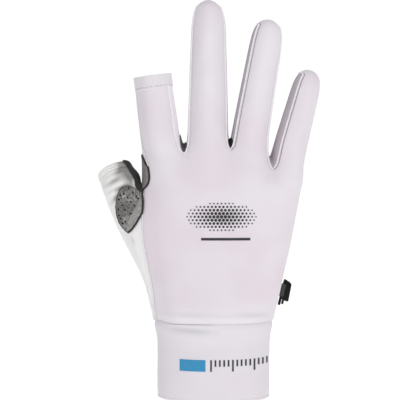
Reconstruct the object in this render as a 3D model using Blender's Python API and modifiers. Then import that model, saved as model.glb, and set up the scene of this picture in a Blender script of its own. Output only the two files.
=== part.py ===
"""A right-hand fishing glove in thin stretch cloth, with an open index finger and an open thumb.

Metres, +Z up. The origin is the middle of the cuff's mouth, where the hand goes in.
+X is the little-finger side, -Y is the back of the hand and +Z runs to the fingertips.

The cloth is one smooth skin. Its coarse cage is a ring of columns round the wrist that rises in
rings, splits at the thumb's crotch into a thumb and a palm, and splits again into four fingers.
Each sewn panel is the part of that skin between its seams, thickened inwards.
"""

import functools
import math
from collections import namedtuple

import bmesh
import bpy
from mathutils import Matrix, Vector

MM = 0.001

# Cloth, in millimetres
WALL = 1.0
SEAM_GAP = 0.3
MOST_SHELL = 1.25
EVENING_PASSES = 4
SUBDIVISIONS = 1

# Grip patches lie on the cloth
PATCH_GAP = 0.3
PATCH_THICKNESS = 0.8
PATCH_MARGIN = 4.0

Finish = namedtuple("Finish", "colour roughness metallic")
FINISHES = {
    "lavender_cloth": Finish((0.74, 0.71, 0.76), 0.55, 0.0),
    "white_cloth": Finish((0.84, 0.84, 0.84), 0.65, 0.0),
    "grip": Finish((0.22, 0.21, 0.21), 0.6, 0.0),
    "webbing": Finish((0.02, 0.02, 0.02), 0.8, 0.0),
    "black_plastic": Finish((0.015, 0.015, 0.017), 0.4, 0.0),
}

# The panels of the skin. A face's material index in the cage is its panel's place here.
PANELS = (
    "back_panel",
    "palm_panel",
    "fourchette_index_middle",
    "fourchette_middle_ring",
    "fourchette_ring_little",
    "thumb_sleeve",
)
BACK, PALM, SIDE_1, SIDE_2, SIDE_3, THUMB, SEAM = range(7)

# Places of the columns across the hand, from the thumb-side seam (0) to the little-finger side (1)
SPREAD = (0.0, 0.115, 0.24, 0.375, 0.51, 0.645, 0.78, 0.895, 0.97)

# The curves of the section: a flat-topped crown over the back, and on the palm a ball of the thumb
# that reaches this share of the way across before the palm's edge rounds off
CROWN_FLAT = 2.6
CROWN_ROUND = 0.62
BALL_REACH = 0.45
EDGE_POWER = 4

# Passes that fit a closed curve to its points
FIT_PASSES = 12

# Rings of the hand below the thumb's crotch. Seam is the back's thumb-side seam, ball is where the
# palm meets the thumb's gusset, left and right are the outermost points, back and palm the depths.
Level = namedtuple(
    "Level",
    "seam_x seam_y seam_z left_x left_y left_z right_x right_y right_z"
    " ball_x ball_y ball_z back_y palm_y",
)
LEVELS = (
    Level(-31.0, -5.2, 43.9, -32.9, 0.8, 43.9, 32.9, 0.0, 43.9, -22.6, 15.4, 43.9, -22.2, 22.0),
    Level(-32.4, -5.5, 46.6, -34.4, 1.0, 46.6, 34.4, 0.0, 46.6, -23.5, 16.0, 46.6, -22.3, 22.0),
    Level(-33.7, -6.5, 60.0, -37.2, 2.5, 60.0, 37.0, 0.0, 60.0, -25.0, 18.5, 60.0, -21.0, 20.4),
    Level(-36.6, -8.0, 74.6, -42.8, 5.0, 73.5, 40.6, 0.2, 74.6, -28.0, 21.5, 74.0, -19.4, 18.2),
    Level(-39.7, -8.5, 88.5, -50.6, 8.0, 86.5, 43.4, 0.5, 88.0, -31.0, 23.5, 87.0, -18.2, 16.4),
    Level(-39.9, -8.0, 102.5, -56.2, 9.5, 98.5, 45.9, 1.0, 101.0, -33.5, 22.0, 99.5, -17.0, 15.0),
    Level(-38.8, -5.5, 116.4, -60.0, 9.0, 107.5, 48.0, 1.5, 112.0, -35.5, 15.5, 112.5, -16.0, 14.6),
)
THUMB_CROTCH = (-39.8, 4.5, 117.3)

# The ring between the thumb's crotch and the finger roots
UPPER = Level(-34.8, -7.6, 124.2, -39.7, 2.0, 125.5, 49.2, 1.5, 118.5, -36.6, 11.5, 124.5, -15.4, 14.8)

# The finger roots: where each column lies on the back and on the palm side
Root = namedtuple("Root", "back palm")
ROOTS = (
    Root((-40.4, 2.2, 137.2), (-37.2, 9.0, 133.5)),
    Root((-30.0, -13.4, 139.0), (-28.0, 12.5, 138.5)),
    Root((-16.0, -9.0, 134.8), (-16.2, 9.5, 142.0)),
    Root((-3.8, -14.8, 143.0), (-3.8, 12.5, 142.0)),
    Root((9.1, -9.0, 138.8), (8.9, 9.5, 141.0)),
    Root((20.3, -13.6, 138.0), (20.3, 12.5, 138.0)),
    Root((33.4, -7.5, 124.8), (32.4, 10.0, 134.0)),
    Root((42.8, -10.0, 126.0), (42.8, 12.5, 128.0)),
    Root((49.2, -4.5, 122.5), (49.2, 9.0, 123.5)),
)
LITTLE_SIDE = (51.0, 2.0, 122.5)
INDEX_SIDE = (-39.8, 3.6, 133.4)
WEBS = ((-15.4, 1.0, 138.6), (9.0, 1.0, 143.0), (30.2, 2.0, 132.6))

# Fingers: the middle of the root and of the tip, how far the tip bends towards the palm, the width
# at both ends, the angles of the left seam, the crown and the right seam from the back's middle
# line, the roll and the cage's rings
Finger = namedtuple("Finger", "base tip bend wide narrow seam_left crown seam_right roll rings closed")
CLOSED_RINGS = (0.13, 0.31, 0.50, 0.69, 0.86, 0.965)
FINGERS = {
    "index": Finger(
        base=(-28.4, -1.5, 134.0),
        tip=(-34.4, 3.0, 180.5),
        bend=4.0,
        wide=22.2,
        narrow=20.6,
        seam_left=104,
        crown=-24,
        seam_right=48,
        roll=-4,
        rings=(0.22, 0.45, 0.66, 0.86),
        closed=False,
    ),
    "middle": Finger(
        base=(-3.4, -2.5, 139.0),
        tip=(-2.7, 4.0, 222.6),
        bend=9.0,
        wide=22.2,
        narrow=17.4,
        seam_left=76,
        crown=-3,
        seam_right=66,
        roll=0,
        rings=CLOSED_RINGS,
        closed=True,
    ),
    "ring": Finger(
        base=(17.6, -1.5, 134.0),
        tip=(31.4, 5.0, 211.7),
        bend=9.0,
        wide=21.0,
        narrow=17.0,
        seam_left=50,
        crown=8,
        seam_right=68,
        roll=3,
        rings=CLOSED_RINGS,
        closed=True,
    ),
    "little": Finger(
        base=(38.9, 2.0, 126.0),
        tip=(54.9, 9.0, 184.0),
        bend=8.0,
        wide=20.2,
        narrow=15.8,
        seam_left=44,
        crown=22,
        seam_right=92,
        roll=-8,
        rings=(0.2, 0.4, 0.6, 0.80, 0.95),
        closed=True,
    ),
}
FINGER_FLATNESS = 0.94
PALM_SEAM_ANGLE = 134
BEND_POWER = 1.7
LEAST_BEND_SHARE = 0.05
TIP_ROUNDING = {0.965: 0.84, 0.95: 0.86}
TIP_OVERSHOOT = 1.04

# The thumb: the middles of its root and of its open rim, its width at both, depth over width, the
# way its back faces, and the angles of its eight columns from the back's middle line
THUMB_BASE = (-49.6, 6.5, 111.6)
THUMB_RIM = (-57.35, 14.0, 128.45)
THUMB_WIDTHS = (21.6, 17.8)
THUMB_FLATNESS = 1.05
THUMB_BACK = (-0.15, -1.0, 0.0)
THUMB_ANGLES = (-50, 0, 50, 90, 130, 180, -130, -90)

# The thumb's rings between root and rim: full folds stand proud and the creases between sink in
Fold = namedtuple("Fold", "share proud")
THUMB_RINGS = (Fold(0.22, -0.4), Fold(0.42, 0.8), Fold(0.6, -0.5), Fold(0.785, 0.2))

# Hems: where they start and end along the finger, how proud they stand, and their doubled wall
Hem = namedtuple("Hem", "start end proud wall")
INDEX_HEM = Hem(0.867, 1.0, 0.5, 1.7)
THUMB_HEM = Hem(0.80, 1.0, 0.3, 1.5)

# Cuff: a doubled band. Its profile gives how far it stands out from its own oval at each height.
CUFF_WIDTH = 62.6
CUFF_DEPTH = 43.0
CUFF_WALL = 1.8
CUFF_SIDES = 40
CuffRow = namedtuple("CuffRow", "height proud")
CUFF_PROFILE = (
    CuffRow(0.0, -0.5),
    CuffRow(0.8, 0.0),
    CuffRow(20.0, -0.1),
    CuffRow(32.0, 0.1),
    CuffRow(37.5, 0.7),
    CuffRow(41.4, 1.4),
    CuffRow(43.0, 1.2),
    CuffRow(43.6, 0.6),
)

# Outlines of the grip patches, seen square to the back of the hand: x and z of smooth corners
WEB_OUTLINE = (
    (-48.2, 119.4), (-52.8, 116.4), (-54.6, 107.0), (-52.6, 98.4), (-47.6, 92.8),
    (-42.6, 98.0), (-39.4, 105.0), (-39.0, 110.0), (-41.6, 116.2),
)
THUMB_OUTLINE = (
    (-48.6, 134.0), (-46.4, 126.4), (-44.6, 121.8), (-43.0, 120.4), (-38.0, 120.0), (-30.0, 121.0),
    (-32.0, 138.0),
)
PALM_OUTLINE = (
    (-46.0, 122.4), (-46.0, 134.0), (-38.0, 135.6), (-28.0, 132.0), (-20.0, 133.0), (-12.0, 134.0),
    (-4.0, 133.0), (4.0, 135.0), (13.0, 134.5), (21.0, 129.0), (31.0, 126.0),
    (33.0, 117.0), (18.0, 110.0), (-8.0, 108.0), (-28.0, 111.0), (-36.0, 121.0),
)
Hole = namedtuple("Hole", "x z")
HOLES = (
    Hole(-47.3, 117.6), Hole(-50.1, 114.8), Hole(-51.8, 113.7), Hole(-45.1, 115.4), Hole(-47.9, 112.6),
    Hole(-43.1, 113.1), Hole(-52.9, 111.4), Hole(-42.0, 112.0), Hole(-50.9, 108.1), Hole(-44.0, 108.1),
    Hole(-46.2, 110.3), Hole(-53.2, 105.8), Hole(-49.3, 105.8), Hole(-46.2, 103.6), Hole(-52.9, 102.5),
    Hole(-51.8, 100.8), Hole(-49.0, 99.1), Hole(-50.7, 98.0),
)
HOLE_WIDTH = 1.1
HOLE_SIDES = 6
HOLE_MIDDLE_Y = -10.0
HOLE_DEPTH = 30.0

# Grip patches: the panel that carries each, its outline and the depths between which it lies
Patch = namedtuple("Patch", "panel outline near far")
PATCHES = {
    "web_grip_patch": Patch(THUMB, WEB_OUTLINE, -20.0, 9.0),
    "thumb_grip_patch": Patch(THUMB, THUMB_OUTLINE, -20.0, 40.0),
    "palm_grip_patch": Patch(PALM, PALM_OUTLINE, -12.0, 40.0),
}

# The clip at the wrist: a webbing loop on the little-finger side and a plastic buckle on it. The
# buckle's outlines and the loop's path are in the clip's own frame.
CLIP_PLACE = (39.7, 8.8, 60.0)
CLIP_LEAN = 13.5
CLIP_THICKNESS = 3.0
CLIP_FRAME = (
    (-2.6, -4.4), (-2.6, 4.8), (-1.8, 5.6), (2.2, 5.6), (3.0, 4.8), (3.0, -4.2), (2.3, -5.0),
    (1.2, -5.0), (0.9, -7.0), (0.1, -7.0), (-0.1, -5.0), (-1.0, -5.0), (-1.3, -7.6), (-2.2, -7.6),
)
CLIP_WINDOW = ((-1.4, -3.8), (-1.4, 4.2), (0.0, 4.2), (0.0, -3.8))
STRAP_PATH = (
    (-3.1, -2.05), (-1.9, -2.05), (-1.05, -1.65), (-1.05, 1.65), (-1.9, 2.05), (-3.2, 2.0),
    (-4.6, 1.5),
)
STRAP_WIDTH = 6.8
STRAP_THICKNESS = 0.8

SHARP_ANGLE = 50
WELD = 0.001
CURVE_STEPS = 4


def vector(point):
    """A point given in millimetres, in metres."""
    return Vector(point) * MM


def mix(start, end, share):
    """The value this share of the way from start to end."""
    return start + (end - start) * share


def through(points):
    """The control points of the closed cubic curve that passes through these points."""
    cage = [point.copy() for point in points]
    for _ in range(FIT_PASSES):
        limits = [
            (cage[i - 1] + 4 * cage[i] + cage[(i + 1) % len(cage)]) / 6
            for i in range(len(cage))
        ]
        for control, point, limit in zip(cage, points, limits):
            control += point - limit
    return cage


def back_points(level):
    """The points over the back of the hand, from the seam to just before the little-finger side."""
    points = []
    for share in SPREAD:
        crown = (1 - abs(2 * share - 1) ** CROWN_FLAT) ** CROWN_ROUND
        y = mix(level.seam_y, level.right_y, share)
        points.append(
            vector(
                (
                    mix(level.seam_x, level.right_x, share),
                    mix(y, level.back_y, crown),
                    mix(level.seam_z, level.right_z, share),
                )
            )
        )
    return points


def palm_points(level):
    """The points over the palm, from the little-finger side to where the palm meets the thumb."""
    points = []
    for share in reversed(SPREAD):
        away = math.sin(math.pi / 2 * min(1, share / BALL_REACH))
        hollow = mix(level.ball_y, level.palm_y, away)
        edge = math.sqrt(1 - share**EDGE_POWER)
        points.append(
            vector(
                (
                    mix(level.ball_x, level.right_x, share),
                    mix(level.right_y, hollow, edge),
                    mix(level.ball_z, level.right_z, share),
                )
            )
        )
    return points


def gusset_points(level):
    """The five points round the thumb side, from the palm to the back."""
    left = Vector((level.left_x, level.left_y, level.left_z))
    ball = Vector((level.ball_x, level.ball_y, level.ball_z))
    seam = Vector((level.seam_x, level.seam_y, level.seam_z))
    points = []
    for corner, turns in ((ball, (30, 60, 90)), (seam, (60, 30))):
        for turn in turns:
            out = math.sin(math.radians(turn))
            along = math.cos(math.radians(turn))
            x = mix(corner.x, left.x, out)
            y = mix(left.y, corner.y, along)
            z = mix(corner.z, left.z, out)
            points.append(vector((x, y, z)))
    return points


def side_point(level):
    """The outermost point on the little-finger side."""
    return vector((level.right_x, level.right_y, level.right_z))


def hand_ring(level):
    """A ring below the thumb's crotch: the back, the little-finger side, the palm and the thumb."""
    return back_points(level) + [side_point(level)] + palm_points(level) + gusset_points(level)


def palm_ring(level):
    """A ring between the thumb's crotch and the fingers."""
    left = vector((level.left_x, level.left_y, level.left_z))
    return back_points(level) + [side_point(level)] + palm_points(level) + [left]


def root_ring():
    """The ring of the finger roots."""
    back = [vector(root.back) for root in ROOTS]
    palm = [vector(root.palm) for root in reversed(ROOTS)]
    return back + [vector(LITTLE_SIDE)] + palm + [vector(INDEX_SIDE)]


def tube_ring(centre, axis, back, width, depth, angles):
    """Eight points of an oval section. The angles run from the back's middle line, clockwise."""
    axis = axis.normalized()
    right = axis.cross(back).normalized()
    front = right.cross(axis).normalized()
    points = []
    for angle in angles:
        turn = math.radians(angle)
        sideways = right * math.sin(turn) * width / 2
        points.append(centre + sideways + front * math.cos(turn) * depth / 2)
    return through(points)


def finger_ring(finger, share, proud=0.0):
    """The ring at this share of a finger's length, this far proud of the cloth."""
    base, tip = vector(finger.base), vector(finger.tip)
    bend = Vector((0, finger.bend * MM, 0))
    centre = base.lerp(tip, share) + bend * (share**BEND_POWER - share)
    slope = BEND_POWER * max(share, LEAST_BEND_SHARE) ** (BEND_POWER - 1)
    axis = tip - base + bend * (slope - 1)
    rounding = TIP_ROUNDING.get(share, 1.0) if finger.closed else 1.0
    width = mix(finger.wide, finger.narrow, share) * MM * rounding + proud
    roll = math.radians(finger.roll)
    back = Vector((-math.sin(roll), -math.cos(roll), 0))
    left, right, palm = finger.seam_left, finger.seam_right, PALM_SEAM_ANGLE
    angles = (-left, finger.crown, right, (right + palm) / 2, palm, 180, -palm, -(left + palm) / 2)
    return tube_ring(centre, axis, back, width, width * FINGER_FLATNESS, angles)


def thumb_ring(share, proud=0.0):
    """The ring at this share of the thumb sleeve, above the crotch, this far proud of the cloth."""
    base, rim = vector(THUMB_BASE), vector(THUMB_RIM)
    width = mix(*THUMB_WIDTHS, share) * MM + proud
    centre = base.lerp(rim, share)
    depth = width * THUMB_FLATNESS
    return tube_ring(centre, rim - base, Vector(THUMB_BACK), width, depth, THUMB_ANGLES)


def loop_edges(bm, ring):
    """The edges round a closed ring of vertices, made where they are missing."""
    edges = []
    for vert, following in zip(ring, ring[1:] + ring[:1]):
        edges.append(bm.edges.get((vert, following)) or bm.edges.new((vert, following)))
    return edges


def grow(bm, ring, points, panels):
    """Extrudes a ring of vertices to the next ring's points and gives each new face its panel."""
    made = bmesh.ops.extrude_edge_only(bm, edges=loop_edges(bm, ring))["geom"]
    fresh = {item for item in made if isinstance(item, bmesh.types.BMVert)}
    above = []
    for vert in ring:
        others = [edge.other_vert(vert) for edge in vert.link_edges]
        above.append(next(other for other in others if other in fresh))
    for vert, point in zip(above, points):
        vert.co = point
    for edge, panel in zip(loop_edges(bm, above), panels):
        edge.link_faces[0].material_index = panel
    return above


def close_tip(bm, ring, point, panels):
    """Closes a finger with four faces round the middle of its tip."""
    middle = bm.verts.new(point)
    for (a, b, c), panel in zip(((7, 0, 1), (1, 2, 3), (3, 4, 5), (5, 6, 7)), panels):
        face = bm.faces.new((ring[a], ring[b], ring[c], middle))
        face.material_index = panel


HAND_PANELS = [BACK] * 9 + [PALM] * 9 + [THUMB] * 6
UPPER_PANELS = [BACK] * 9 + [PALM] * 11


def finger_panels(left, right):
    """The panels round a finger whose side strips are these, starting at its left seam."""
    return [BACK, BACK, right[0], right[1], PALM, PALM, left, left]


FINGER_PANELS = {
    "index": finger_panels(PALM, (SIDE_1, SIDE_1)),
    "middle": finger_panels(SIDE_1, (SIDE_2, SIDE_2)),
    "ring": finger_panels(SIDE_2, (SIDE_3, SIDE_3)),
    "little": finger_panels(SIDE_3, (BACK, PALM)),
}


def skin_cage():
    """The coarse cage of the whole skin, with the rings that the hems carry on from."""
    bm = bmesh.new()
    points = through(hand_ring(LEVELS[0]))
    ring = bmesh.ops.create_circle(bm, segments=len(points), radius=MM)["verts"]
    for vert, point in zip(ring, points):
        vert.co = point
    for level in LEVELS[1:]:
        ring = grow(bm, ring, through(hand_ring(level)), HAND_PANELS)
    crotch = bm.verts.new(vector(THUMB_CROTCH))
    thumb = [ring[22], ring[23], ring[0], crotch, ring[18], ring[19], ring[20], ring[21]]
    for fold in THUMB_RINGS:
        thumb = grow(bm, thumb, thumb_ring(fold.share, fold.proud * MM), [THUMB] * 8)
    ring = ring[:19] + [crotch]
    ring = grow(bm, ring, through(palm_ring(UPPER)), UPPER_PANELS)
    ring = grow(bm, ring, root_ring(), UPPER_PANELS)
    first, second, third = (bm.verts.new(vector(web)) for web in WEBS)
    bases = {
        "index": [*ring[0:3], first, *ring[16:20]],
        "middle": [*ring[2:5], second, *ring[14:17], first],
        "ring": [*ring[4:7], third, *ring[12:15], second],
        "little": [*ring[6:13], third],
    }
    for name, finger in FINGERS.items():
        tube = bases[name]
        for share in finger.rings:
            tube = grow(bm, tube, finger_ring(finger, share), FINGER_PANELS[name])
        if finger.closed:
            tip = vector(finger.base).lerp(vector(finger.tip), TIP_OVERSHOOT)
            close_tip(bm, tube, tip, (BACK, BACK, PALM, PALM))
    bmesh.ops.recalc_face_normals(bm, faces=bm.faces[:])
    return bm


def oval_points(row):
    """The cuff's outline at one row of its profile."""
    points = []
    for side in range(CUFF_SIDES):
        turn = math.tau * side / CUFF_SIDES
        x = (CUFF_WIDTH / 2 + row.proud) * math.cos(turn)
        y = (CUFF_DEPTH / 2 + row.proud) * math.sin(turn)
        points.append(vector((x, y, row.height)))
    return points


def tube_surface(rows):
    """An open tube through these rings of points."""
    bm = bmesh.new()
    ring = bmesh.ops.create_circle(bm, segments=len(rows[0]), radius=MM)["verts"]
    for vert, point in zip(ring, rows[0]):
        vert.co = point
    for points in rows[1:]:
        ring = grow(bm, ring, points, [0] * len(points))
    bmesh.ops.recalc_face_normals(bm, faces=bm.faces[:])
    return bm


def thicken(bm, steps):
    """Closes an open surface into a wall. Each vertex has its own step to the wall's other side."""
    other_side = bm.verts.layers.float_vector.new("other_side")
    for vert, step in zip(bm.verts, steps):
        vert[other_side] = step
    return close_wall(bm)


def close_wall(bm):
    """Extrudes a surface by the steps that its vertices hold."""
    other_side = bm.verts.layers.float_vector["other_side"]
    made = bmesh.ops.extrude_face_region(bm, geom=bm.faces[:], use_keep_orig=True)["geom"]
    for item in made:
        if isinstance(item, bmesh.types.BMVert):
            item.co += item[other_side]
    bmesh.ops.recalc_face_normals(bm, faces=bm.faces[:])
    return bm


def material(name):
    """The finish's material, a Principled BSDF."""
    if name in bpy.data.materials:
        return bpy.data.materials[name]
    made = bpy.data.materials.new(name)
    made.use_nodes = True
    finish = FINISHES[name]
    shader = made.node_tree.nodes["Principled BSDF"]
    shader.inputs["Base Color"].default_value = (*finish.colour, 1)
    shader.inputs["Roughness"].default_value = finish.roughness
    shader.inputs["Metallic"].default_value = finish.metallic
    made.diffuse_color = (*finish.colour, 1)
    return made


def add_object(name, bm, finish, collection):
    """A smooth-shaded object from the bmesh, which it frees."""
    mesh = bpy.data.meshes.new(name)
    for face in bm.faces:
        face.material_index = 0
    bm.to_mesh(mesh)
    bm.free()
    mesh.shade_smooth()
    mesh.set_sharp_from_angle(angle=math.radians(SHARP_ANGLE))
    if finish:
        mesh.materials.append(material(finish))
    made = bpy.data.objects.new(name, mesh)
    collection.objects.link(made)
    return made


def evaluated(made):
    """The object's mesh with its modifiers applied, as a bmesh. The object is removed."""
    bpy.context.view_layer.update()
    graph = bpy.context.evaluated_depsgraph_get()
    mesh = bpy.data.meshes.new_from_object(made.evaluated_get(graph))
    mesh.transform(made.matrix_world)
    bm = bmesh.new()
    bm.from_mesh(mesh)
    bpy.data.objects.remove(made)
    bpy.data.meshes.remove(mesh)
    return bm


def smoothed(cage, collection):
    """The cage's smooth surface, which keeps each face's panel."""
    mesh = bpy.data.meshes.new("smoothed")
    cage.to_mesh(mesh)
    cage.free()
    made = bpy.data.objects.new("smoothed", mesh)
    collection.objects.link(made)
    smooth = made.modifiers.new("smooth", "SUBSURF")
    smooth.levels = smooth.render_levels = SUBDIVISIONS
    return evaluated(made)


def open_seams(skin):
    """Turns each seam between two panels into a narrow strip of faces, the gap between them."""
    seams = []
    for edge in skin.edges:
        if len({face.material_index for face in edge.link_faces}) == 2:
            seams.append(edge)
    bmesh.ops.bevel(
        skin,
        geom=seams,
        offset=SEAM_GAP / 2 * MM,
        offset_type="OFFSET",
        affect="EDGES",
        segments=1,
        profile=0.5,
        material=SEAM,
    )


def averaged(steps, vert, edges):
    """The mean of a vertex's step and of those at the other ends of these edges."""
    others = [steps[edge.other_vert(vert).index] for edge in edges]
    return sum(others, steps[vert.index]) / (len(others) + 1)


def across_seam(vert):
    """The edges from this vertex over the gap to the panels on the other side."""
    over = []
    for edge in vert.link_edges:
        if all(face.material_index == SEAM for face in edge.link_faces):
            over.append(edge)
    return over


def inward_steps(skin):
    """The way from each vertex to the cloth's inner side, the same on both sides of a seam."""
    skin.normal_update()
    skin.verts.index_update()
    steps = [vert.normal * min(MOST_SHELL, vert.calc_shell_factor()) for vert in skin.verts]
    for _ in range(EVENING_PASSES):
        steps = [averaged(steps, vert, vert.link_edges) for vert in skin.verts]
    steps = [averaged(steps, vert, across_seam(vert)) for vert in skin.verts]
    return [step.normalized() * -WALL * MM for step in steps]


def keep_faces(bm, kept):
    """Deletes the faces that this test doesn't keep."""
    others = [face for face in bm.faces if not kept(face)]
    bmesh.ops.delete(bm, geom=others, context="FACES")


def add_panels(skin, collection):
    """The sewn panels: each is the skin between its seams, thickened inwards."""
    other_side = skin.verts.layers.float_vector.new("other_side")
    for vert, step in zip(skin.verts, inward_steps(skin)):
        vert[other_side] = step
    for index, panel in enumerate(PANELS):
        bm = skin.copy()
        keep_faces(bm, lambda face: face.material_index == index)
        finish = "white_cloth" if index in (PALM, THUMB) else "lavender_cloth"
        add_object(panel, close_wall(bm), finish, collection)


def add_hem(name, hem, ring_at, finish, collection):
    """A doubled hem round an open finger, a little proud of the cloth below it."""
    shares = (hem.start, (hem.start + hem.end) / 2, hem.end)
    rows = [ring_at(share, hem.proud * MM) for share in shares]
    bm = smoothed(tube_surface(rows), collection)
    bm.normal_update()
    steps = [vert.normal * -hem.wall * MM for vert in bm.verts]
    add_object(name, thicken(bm, steps), finish, collection)


def add_cuff(collection):
    """The doubled band round the wrist, with a small ridge under the seam."""
    bm = tube_surface([oval_points(row) for row in CUFF_PROFILE])
    bm.normal_update()
    steps = []
    for vert in bm.verts:
        level = Vector((vert.normal.x, vert.normal.y, 0)).normalized()
        steps.append(level * -CUFF_WALL * MM)
    add_object("cuff", thicken(bm, steps), "lavender_cloth", collection)


def outline_curve(name, corners, smooth, collection):
    """A flat filled curve through these corners, standing square to the back of the hand."""
    data = bpy.data.curves.new(name, "CURVE")
    data.dimensions = "2D"
    data.fill_mode = "BOTH"
    data.resolution_u = CURVE_STEPS
    for loop in corners:
        spline = data.splines.new("BEZIER" if smooth else "POLY")
        points = spline.bezier_points if smooth else spline.points
        points.add(len(loop) - 1)
        for point, (x, z) in zip(points, loop):
            if smooth:
                point.co = (x * MM, z * MM, 0)
                point.handle_left_type = point.handle_right_type = "AUTO"
            else:
                point.co = (x * MM, z * MM, 0, 1)
        spline.use_cyclic_u = True
    made = bpy.data.objects.new(name, data)
    made.rotation_euler = (math.radians(90), 0, 0)
    collection.objects.link(made)
    return made


def plate(name, corners, smooth, near, far, collection):
    """The outline as a solid between two depths, in a bmesh."""
    made = outline_curve(name, corners, smooth, collection)
    made.data.extrude = (far - near) / 2 * MM
    made.location.y = (near + far) / 2 * MM
    bm = evaluated(made)
    bmesh.ops.remove_doubles(bm, verts=bm.verts[:], dist=WELD * MM)
    bmesh.ops.recalc_face_normals(bm, faces=bm.faces[:])
    return bm


def add_cutter(name, bm, collection):
    """A helper that only cuts."""
    cutter = add_object(name, bm, None, collection)
    cutter.hide_render = True
    cutter.display_type = "WIRE"
    return cutter


def cut(target, cutter, operation):
    """Combines an object with a cutter by a live Boolean."""
    boolean = target.modifiers.new(cutter.name, "BOOLEAN")
    boolean.operation = operation
    boolean.object = cutter


def within(patch, face):
    """Tests whether a face of the skin lies where the patch may reach."""
    middle = face.calc_center_median() / MM
    xs, zs = zip(*patch.outline)
    return (
        face.material_index == patch.panel
        and min(xs) - PATCH_MARGIN < middle.x < max(xs) + PATCH_MARGIN
        and min(zs) - PATCH_MARGIN < middle.z < max(zs) + PATCH_MARGIN
        and patch.near < middle.y < patch.far
    )


def add_patch(name, patch, skin, glove, cutters):
    """A grip patch: a layer on the skin, cut to its outline."""
    bm = skin.copy()
    bm.normal_update()
    other_side = bm.verts.layers.float_vector.new("other_side")
    for vert in bm.verts:
        out = vert.normal * min(MOST_SHELL, vert.calc_shell_factor())
        vert.co += out * PATCH_GAP * MM
        vert[other_side] = out * PATCH_THICKNESS * MM
    keep_faces(bm, lambda face: within(patch, face))
    layer = add_object(name, close_wall(bm), "grip", glove)
    blade = plate(name + "_blade", [patch.outline], True, patch.near, patch.far, cutters)
    cut(layer, add_cutter(name + "_outline", blade, cutters), "INTERSECT")
    return layer


def add_holes(layer, collection):
    """Perforates a grip patch from the back of the hand."""
    bm = bmesh.new()
    for hole in HOLES:
        made = bmesh.ops.create_cone(
            bm,
            cap_ends=True,
            segments=HOLE_SIDES,
            radius1=HOLE_WIDTH / 2 * MM,
            radius2=HOLE_WIDTH / 2 * MM,
            depth=HOLE_DEPTH * MM,
            matrix=Matrix.Rotation(math.radians(90), 4, "X"),
        )["verts"]
        bmesh.ops.translate(bm, verts=made, vec=vector((hole.x, HOLE_MIDDLE_Y, hole.z)))
    bmesh.ops.recalc_face_normals(bm, faces=bm.faces[:])
    cut(layer, add_cutter("perforations", bm, collection), "DIFFERENCE")


def clip_frame():
    """The clip's place and lean."""
    lean = Matrix.Rotation(math.radians(CLIP_LEAN), 4, "Y")
    return Matrix.Translation(vector(CLIP_PLACE)) @ lean


def add_clip(glove, helpers):
    """The buckle and the webbing loop that ties it to the side of the wrist."""
    half = CLIP_THICKNESS / 2
    body = plate("clip_body", [CLIP_FRAME, CLIP_WINDOW], False, -half, half, helpers)
    bmesh.ops.transform(body, matrix=clip_frame(), verts=body.verts)
    add_object("clip_buckle", body, "black_plastic", glove)
    ribbon = bmesh.new()
    path = [ribbon.verts.new(vector((x, y, -STRAP_WIDTH / 2))) for x, y in STRAP_PATH]
    edges = [ribbon.edges.new(pair) for pair in zip(path, path[1:])]
    made = bmesh.ops.extrude_edge_only(ribbon, edges=edges)["geom"]
    above = [item for item in made if isinstance(item, bmesh.types.BMVert)]
    bmesh.ops.translate(ribbon, verts=above, vec=vector((0, 0, STRAP_WIDTH)))
    ribbon.normal_update()
    thicken(ribbon, [vert.normal * -STRAP_THICKNESS * MM for vert in ribbon.verts])
    bmesh.ops.transform(ribbon, matrix=clip_frame(), verts=ribbon.verts)
    add_object("clip_strap", ribbon, "webbing", glove)


def main():
    """Builds the glove from an empty scene."""
    for old in list(bpy.data.objects):
        bpy.data.objects.remove(old)
    glove = bpy.data.collections.new("fishing_glove")
    cutters = bpy.data.collections.new("cutters")
    bpy.context.scene.collection.children.link(glove)
    bpy.context.scene.collection.children.link(cutters)
    skin = smoothed(skin_cage(), glove)
    layers = {}
    for name, patch in PATCHES.items():
        layers[name] = add_patch(name, patch, skin, glove, cutters)
    add_holes(layers["web_grip_patch"], cutters)
    open_seams(skin)
    add_panels(skin, glove)
    skin.free()
    index_ring = functools.partial(finger_ring, FINGERS["index"])
    add_hem("index_hem", INDEX_HEM, index_ring, "lavender_cloth", glove)
    add_hem("thumb_hem", THUMB_HEM, thumb_ring, "white_cloth", glove)
    add_cuff(glove)
    add_clip(glove, cutters)


main()
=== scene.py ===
"""The looks of a right-hand fishing glove in thin stretch cloth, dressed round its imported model.

Metres, +Z up. The origin is the middle of the cuff's mouth, where the hand goes in. +X is the
little-finger side, -Y is the back of the hand, which faces the camera, and +Z runs to the tips.

The cloth is one smooth skin, made of rings that rise from the wrist and split into the thumb and
the fingers. Each sewn panel is the part of that skin between its seams. Seams, hems, grip sheets,
prints and the clip are laid on it. Sizes are in millimetres until they are placed.
"""

from __future__ import annotations

import logging
import math
from dataclasses import dataclass, field
from enum import Enum, IntEnum
from functools import cache
from typing import Callable, Iterable, Protocol, Sequence

import bmesh
import bpy
from mathutils import Matrix, Vector, noise
from mathutils.bvhtree import BVHTree


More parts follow.
